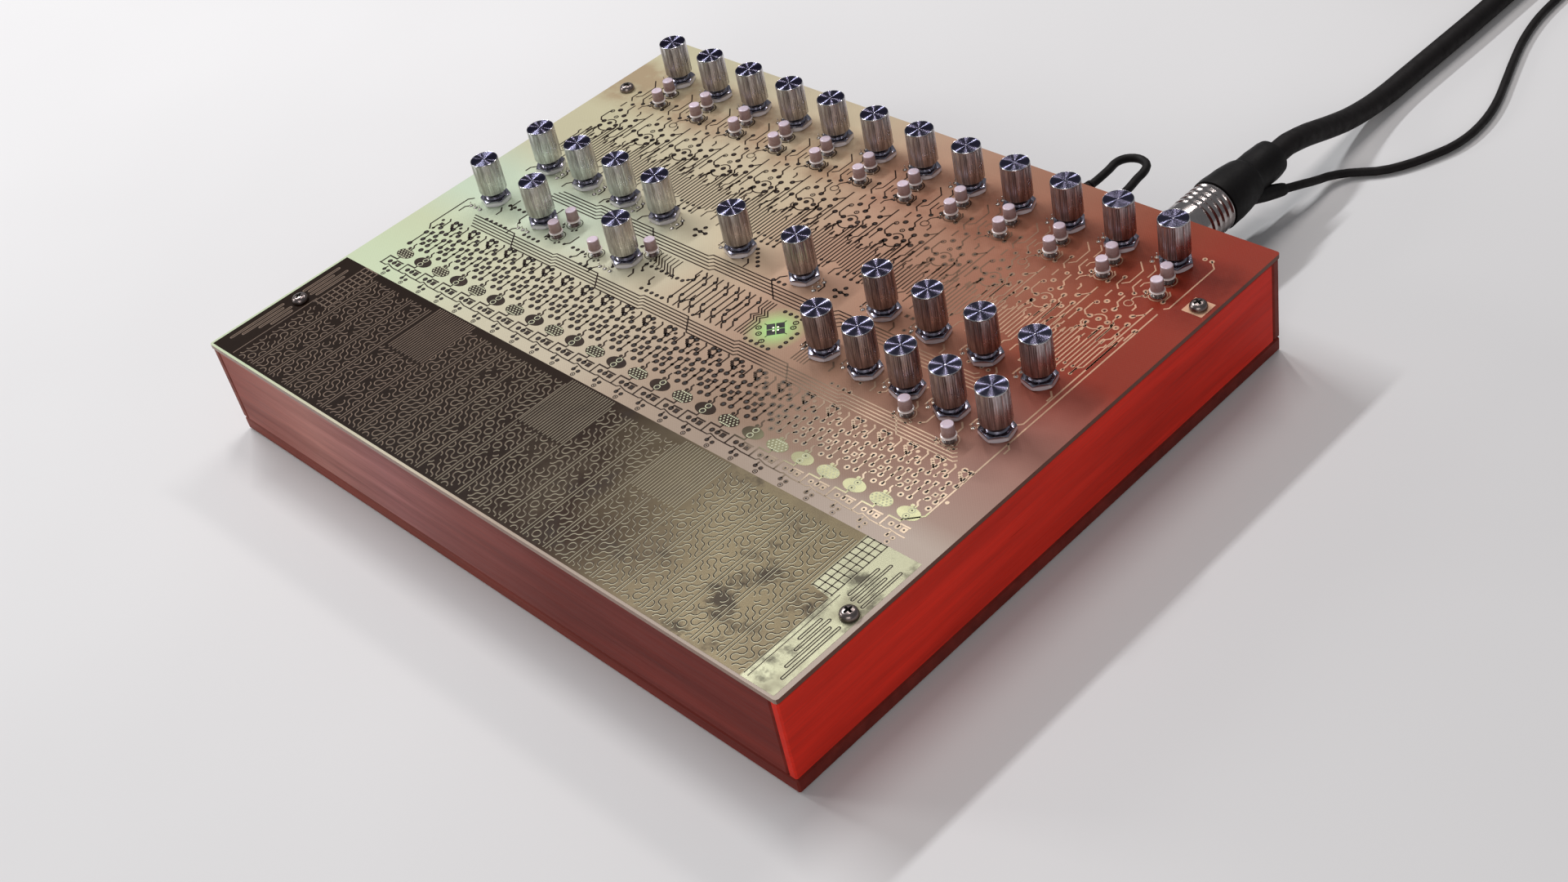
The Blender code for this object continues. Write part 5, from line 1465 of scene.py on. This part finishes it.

# Lit and shaded copies of one knurled aluminium: the pale copy paints light on the knobs on the left, the
# brown copy paints red shade on those on the right.
knurled = {"pale": knurl_finish("knurled_lit_copy", (1.15, 1.15, 1.10), 0.45),
           "plain": knurl_finish("knurled_side", (1.00, 0.97, 0.95), 0.72),
           "brown": knurl_finish("knurled_shaded_red_copy", (0.80, 0.68, 0.66), 0.72)}
polished = plain_finish("polished_rim", (0.50, 0.49, 0.51), 0.14, 1.0, spot=0.85)
turned_face = turned_finish()
plated_nut = nut_finish()
can_metal = plain_finish("can_metal", (0.56, 0.55, 0.52), 0.35, 1.0)
solder = plain_finish("solder", (0.72, 0.68, 0.64), 0.22, 1.0, spot=0.7, scale=900.0)
screw_steel = plain_finish("screw_steel", (0.24, 0.20, 0.19), 0.24, 1.0, spot=0.75, scale=700.0)
nickel = plain_finish("plug_nickel", (0.44, 0.40, 0.39), 0.13, 1.0, spot=0.8)
socket_metal = plain_finish("socket_metal", (0.36, 0.36, 0.37), 0.3, 1.0)
tubing = plain_finish("shrunk_tubing", (0.007, 0.006, 0.006), 0.45, scale=120.0,
                      depth=0.00006, Specular_IOR_Level=0.14)
chips = plain_finish("chip_plastic", (0.03, 0.03, 0.033), 0.5)
cap_plastic = cap_finish()
track_copper, plate_copper = track_finish(), plate_finish()
# Gaps: pale on the left, painted dark shade on the right.
gap_board = gap_finish("plate_gaps", (0.200, 0.138, 0.098), (0.028, 0.020, 0.014))
# Edge strips: painted shade on the left, painted highlight on the right.
gap_edge_light_and_shade = gap_finish("plate_gap_light_and_shade", (0.050, 0.034, 0.028), (0.720, 0.670, 0.470))
# Near-black: painted shade in the board's holes and the screws' cross recesses.
drilled = plain_finish("painted_hole_shade", (0.014, 0.011, 0.010), 0.6)
lamp_glow = plain_finish("lamp_glow", (0.75, 0.85, 0.45), 0.5, spot=0.9,
                         Emission_Color=(0.92, 1.0, 0.70), Emission_Strength=1.2)
bare_board = plain_finish("bare_board", (0.52, 0.52, 0.33), 0.4)

dress(laminate_finish(), "panel_board")
WOOD = (0.105, 0.027, 0.020), (0.285, 0.083, 0.062)
# Painted shade: darker and redder towards the right of the back and base boards.
PAINTED_RED_SHADE_RIGHT = [(0.35, (1, 1, 1)), (0.87, (0.70, 0.42, 0.42))]
# The front board's ramp: a painted pinkish sheen on the left part and painted red shade towards the
# right.
dress(wood_finish("front_wood", (0.190, 0.072, 0.060), (0.500, 0.222, 0.186), "X", [
    (0.02, (0.74, 0.50, 0.46)), (0.20, (1.00, 1.00, 1.00)), (0.35, (0.92, 0.88, 0.99)),
    (0.50, (0.61, 0.44, 0.46)), (0.65, (0.41, 0.20, 0.19)), (0.98, (0.41, 0.13, 0.11))]),
      "front_board")
dress(wood_finish("back_wood", *WOOD, "X", PAINTED_RED_SHADE_RIGHT), "back_board")
dress(wood_finish("left_wood", *WOOD, "Y"), "left_board")
# A redder, brighter copy of the wood: painted red light on the right board.
dress(wood_finish("right_wood_red_lit", (0.320, 0.013, 0.006), (0.740, 0.030, 0.015), "Y"),
      "right_board")
dress(wood_finish("base_wood", (0.100, 0.022, 0.015), (0.260, 0.062, 0.044), "X",
                  PAINTED_RED_SHADE_RIGHT), "base_board")
dress(wood_finish("inner_wood", (0.30, 0.18, 0.10), (0.50, 0.34, 0.20), "Y"), "left_cleat",
      "right_cleat")
dress(chips, "circuit_parts")

find_small_groups()
board = Board()
draw_key_circuits(board)
draw_buses(board)
draw_pad_rows(board)
draw_comb(board)
draw_voice_circuits(board)
draw_controls(board)
board.copper.piece("tracks", track_copper)
board.holes.piece("drill_holes", drilled)
board.bare.piece("electrode_gaps", bare_board)
board.lights.piece("lamp_light", lamp_glow)
draw_touch_plate()
make_knobs()
make_potentiometers()
make_pins()
make_buttons()
make_screws()
make_back()
make_stage()
make_light()
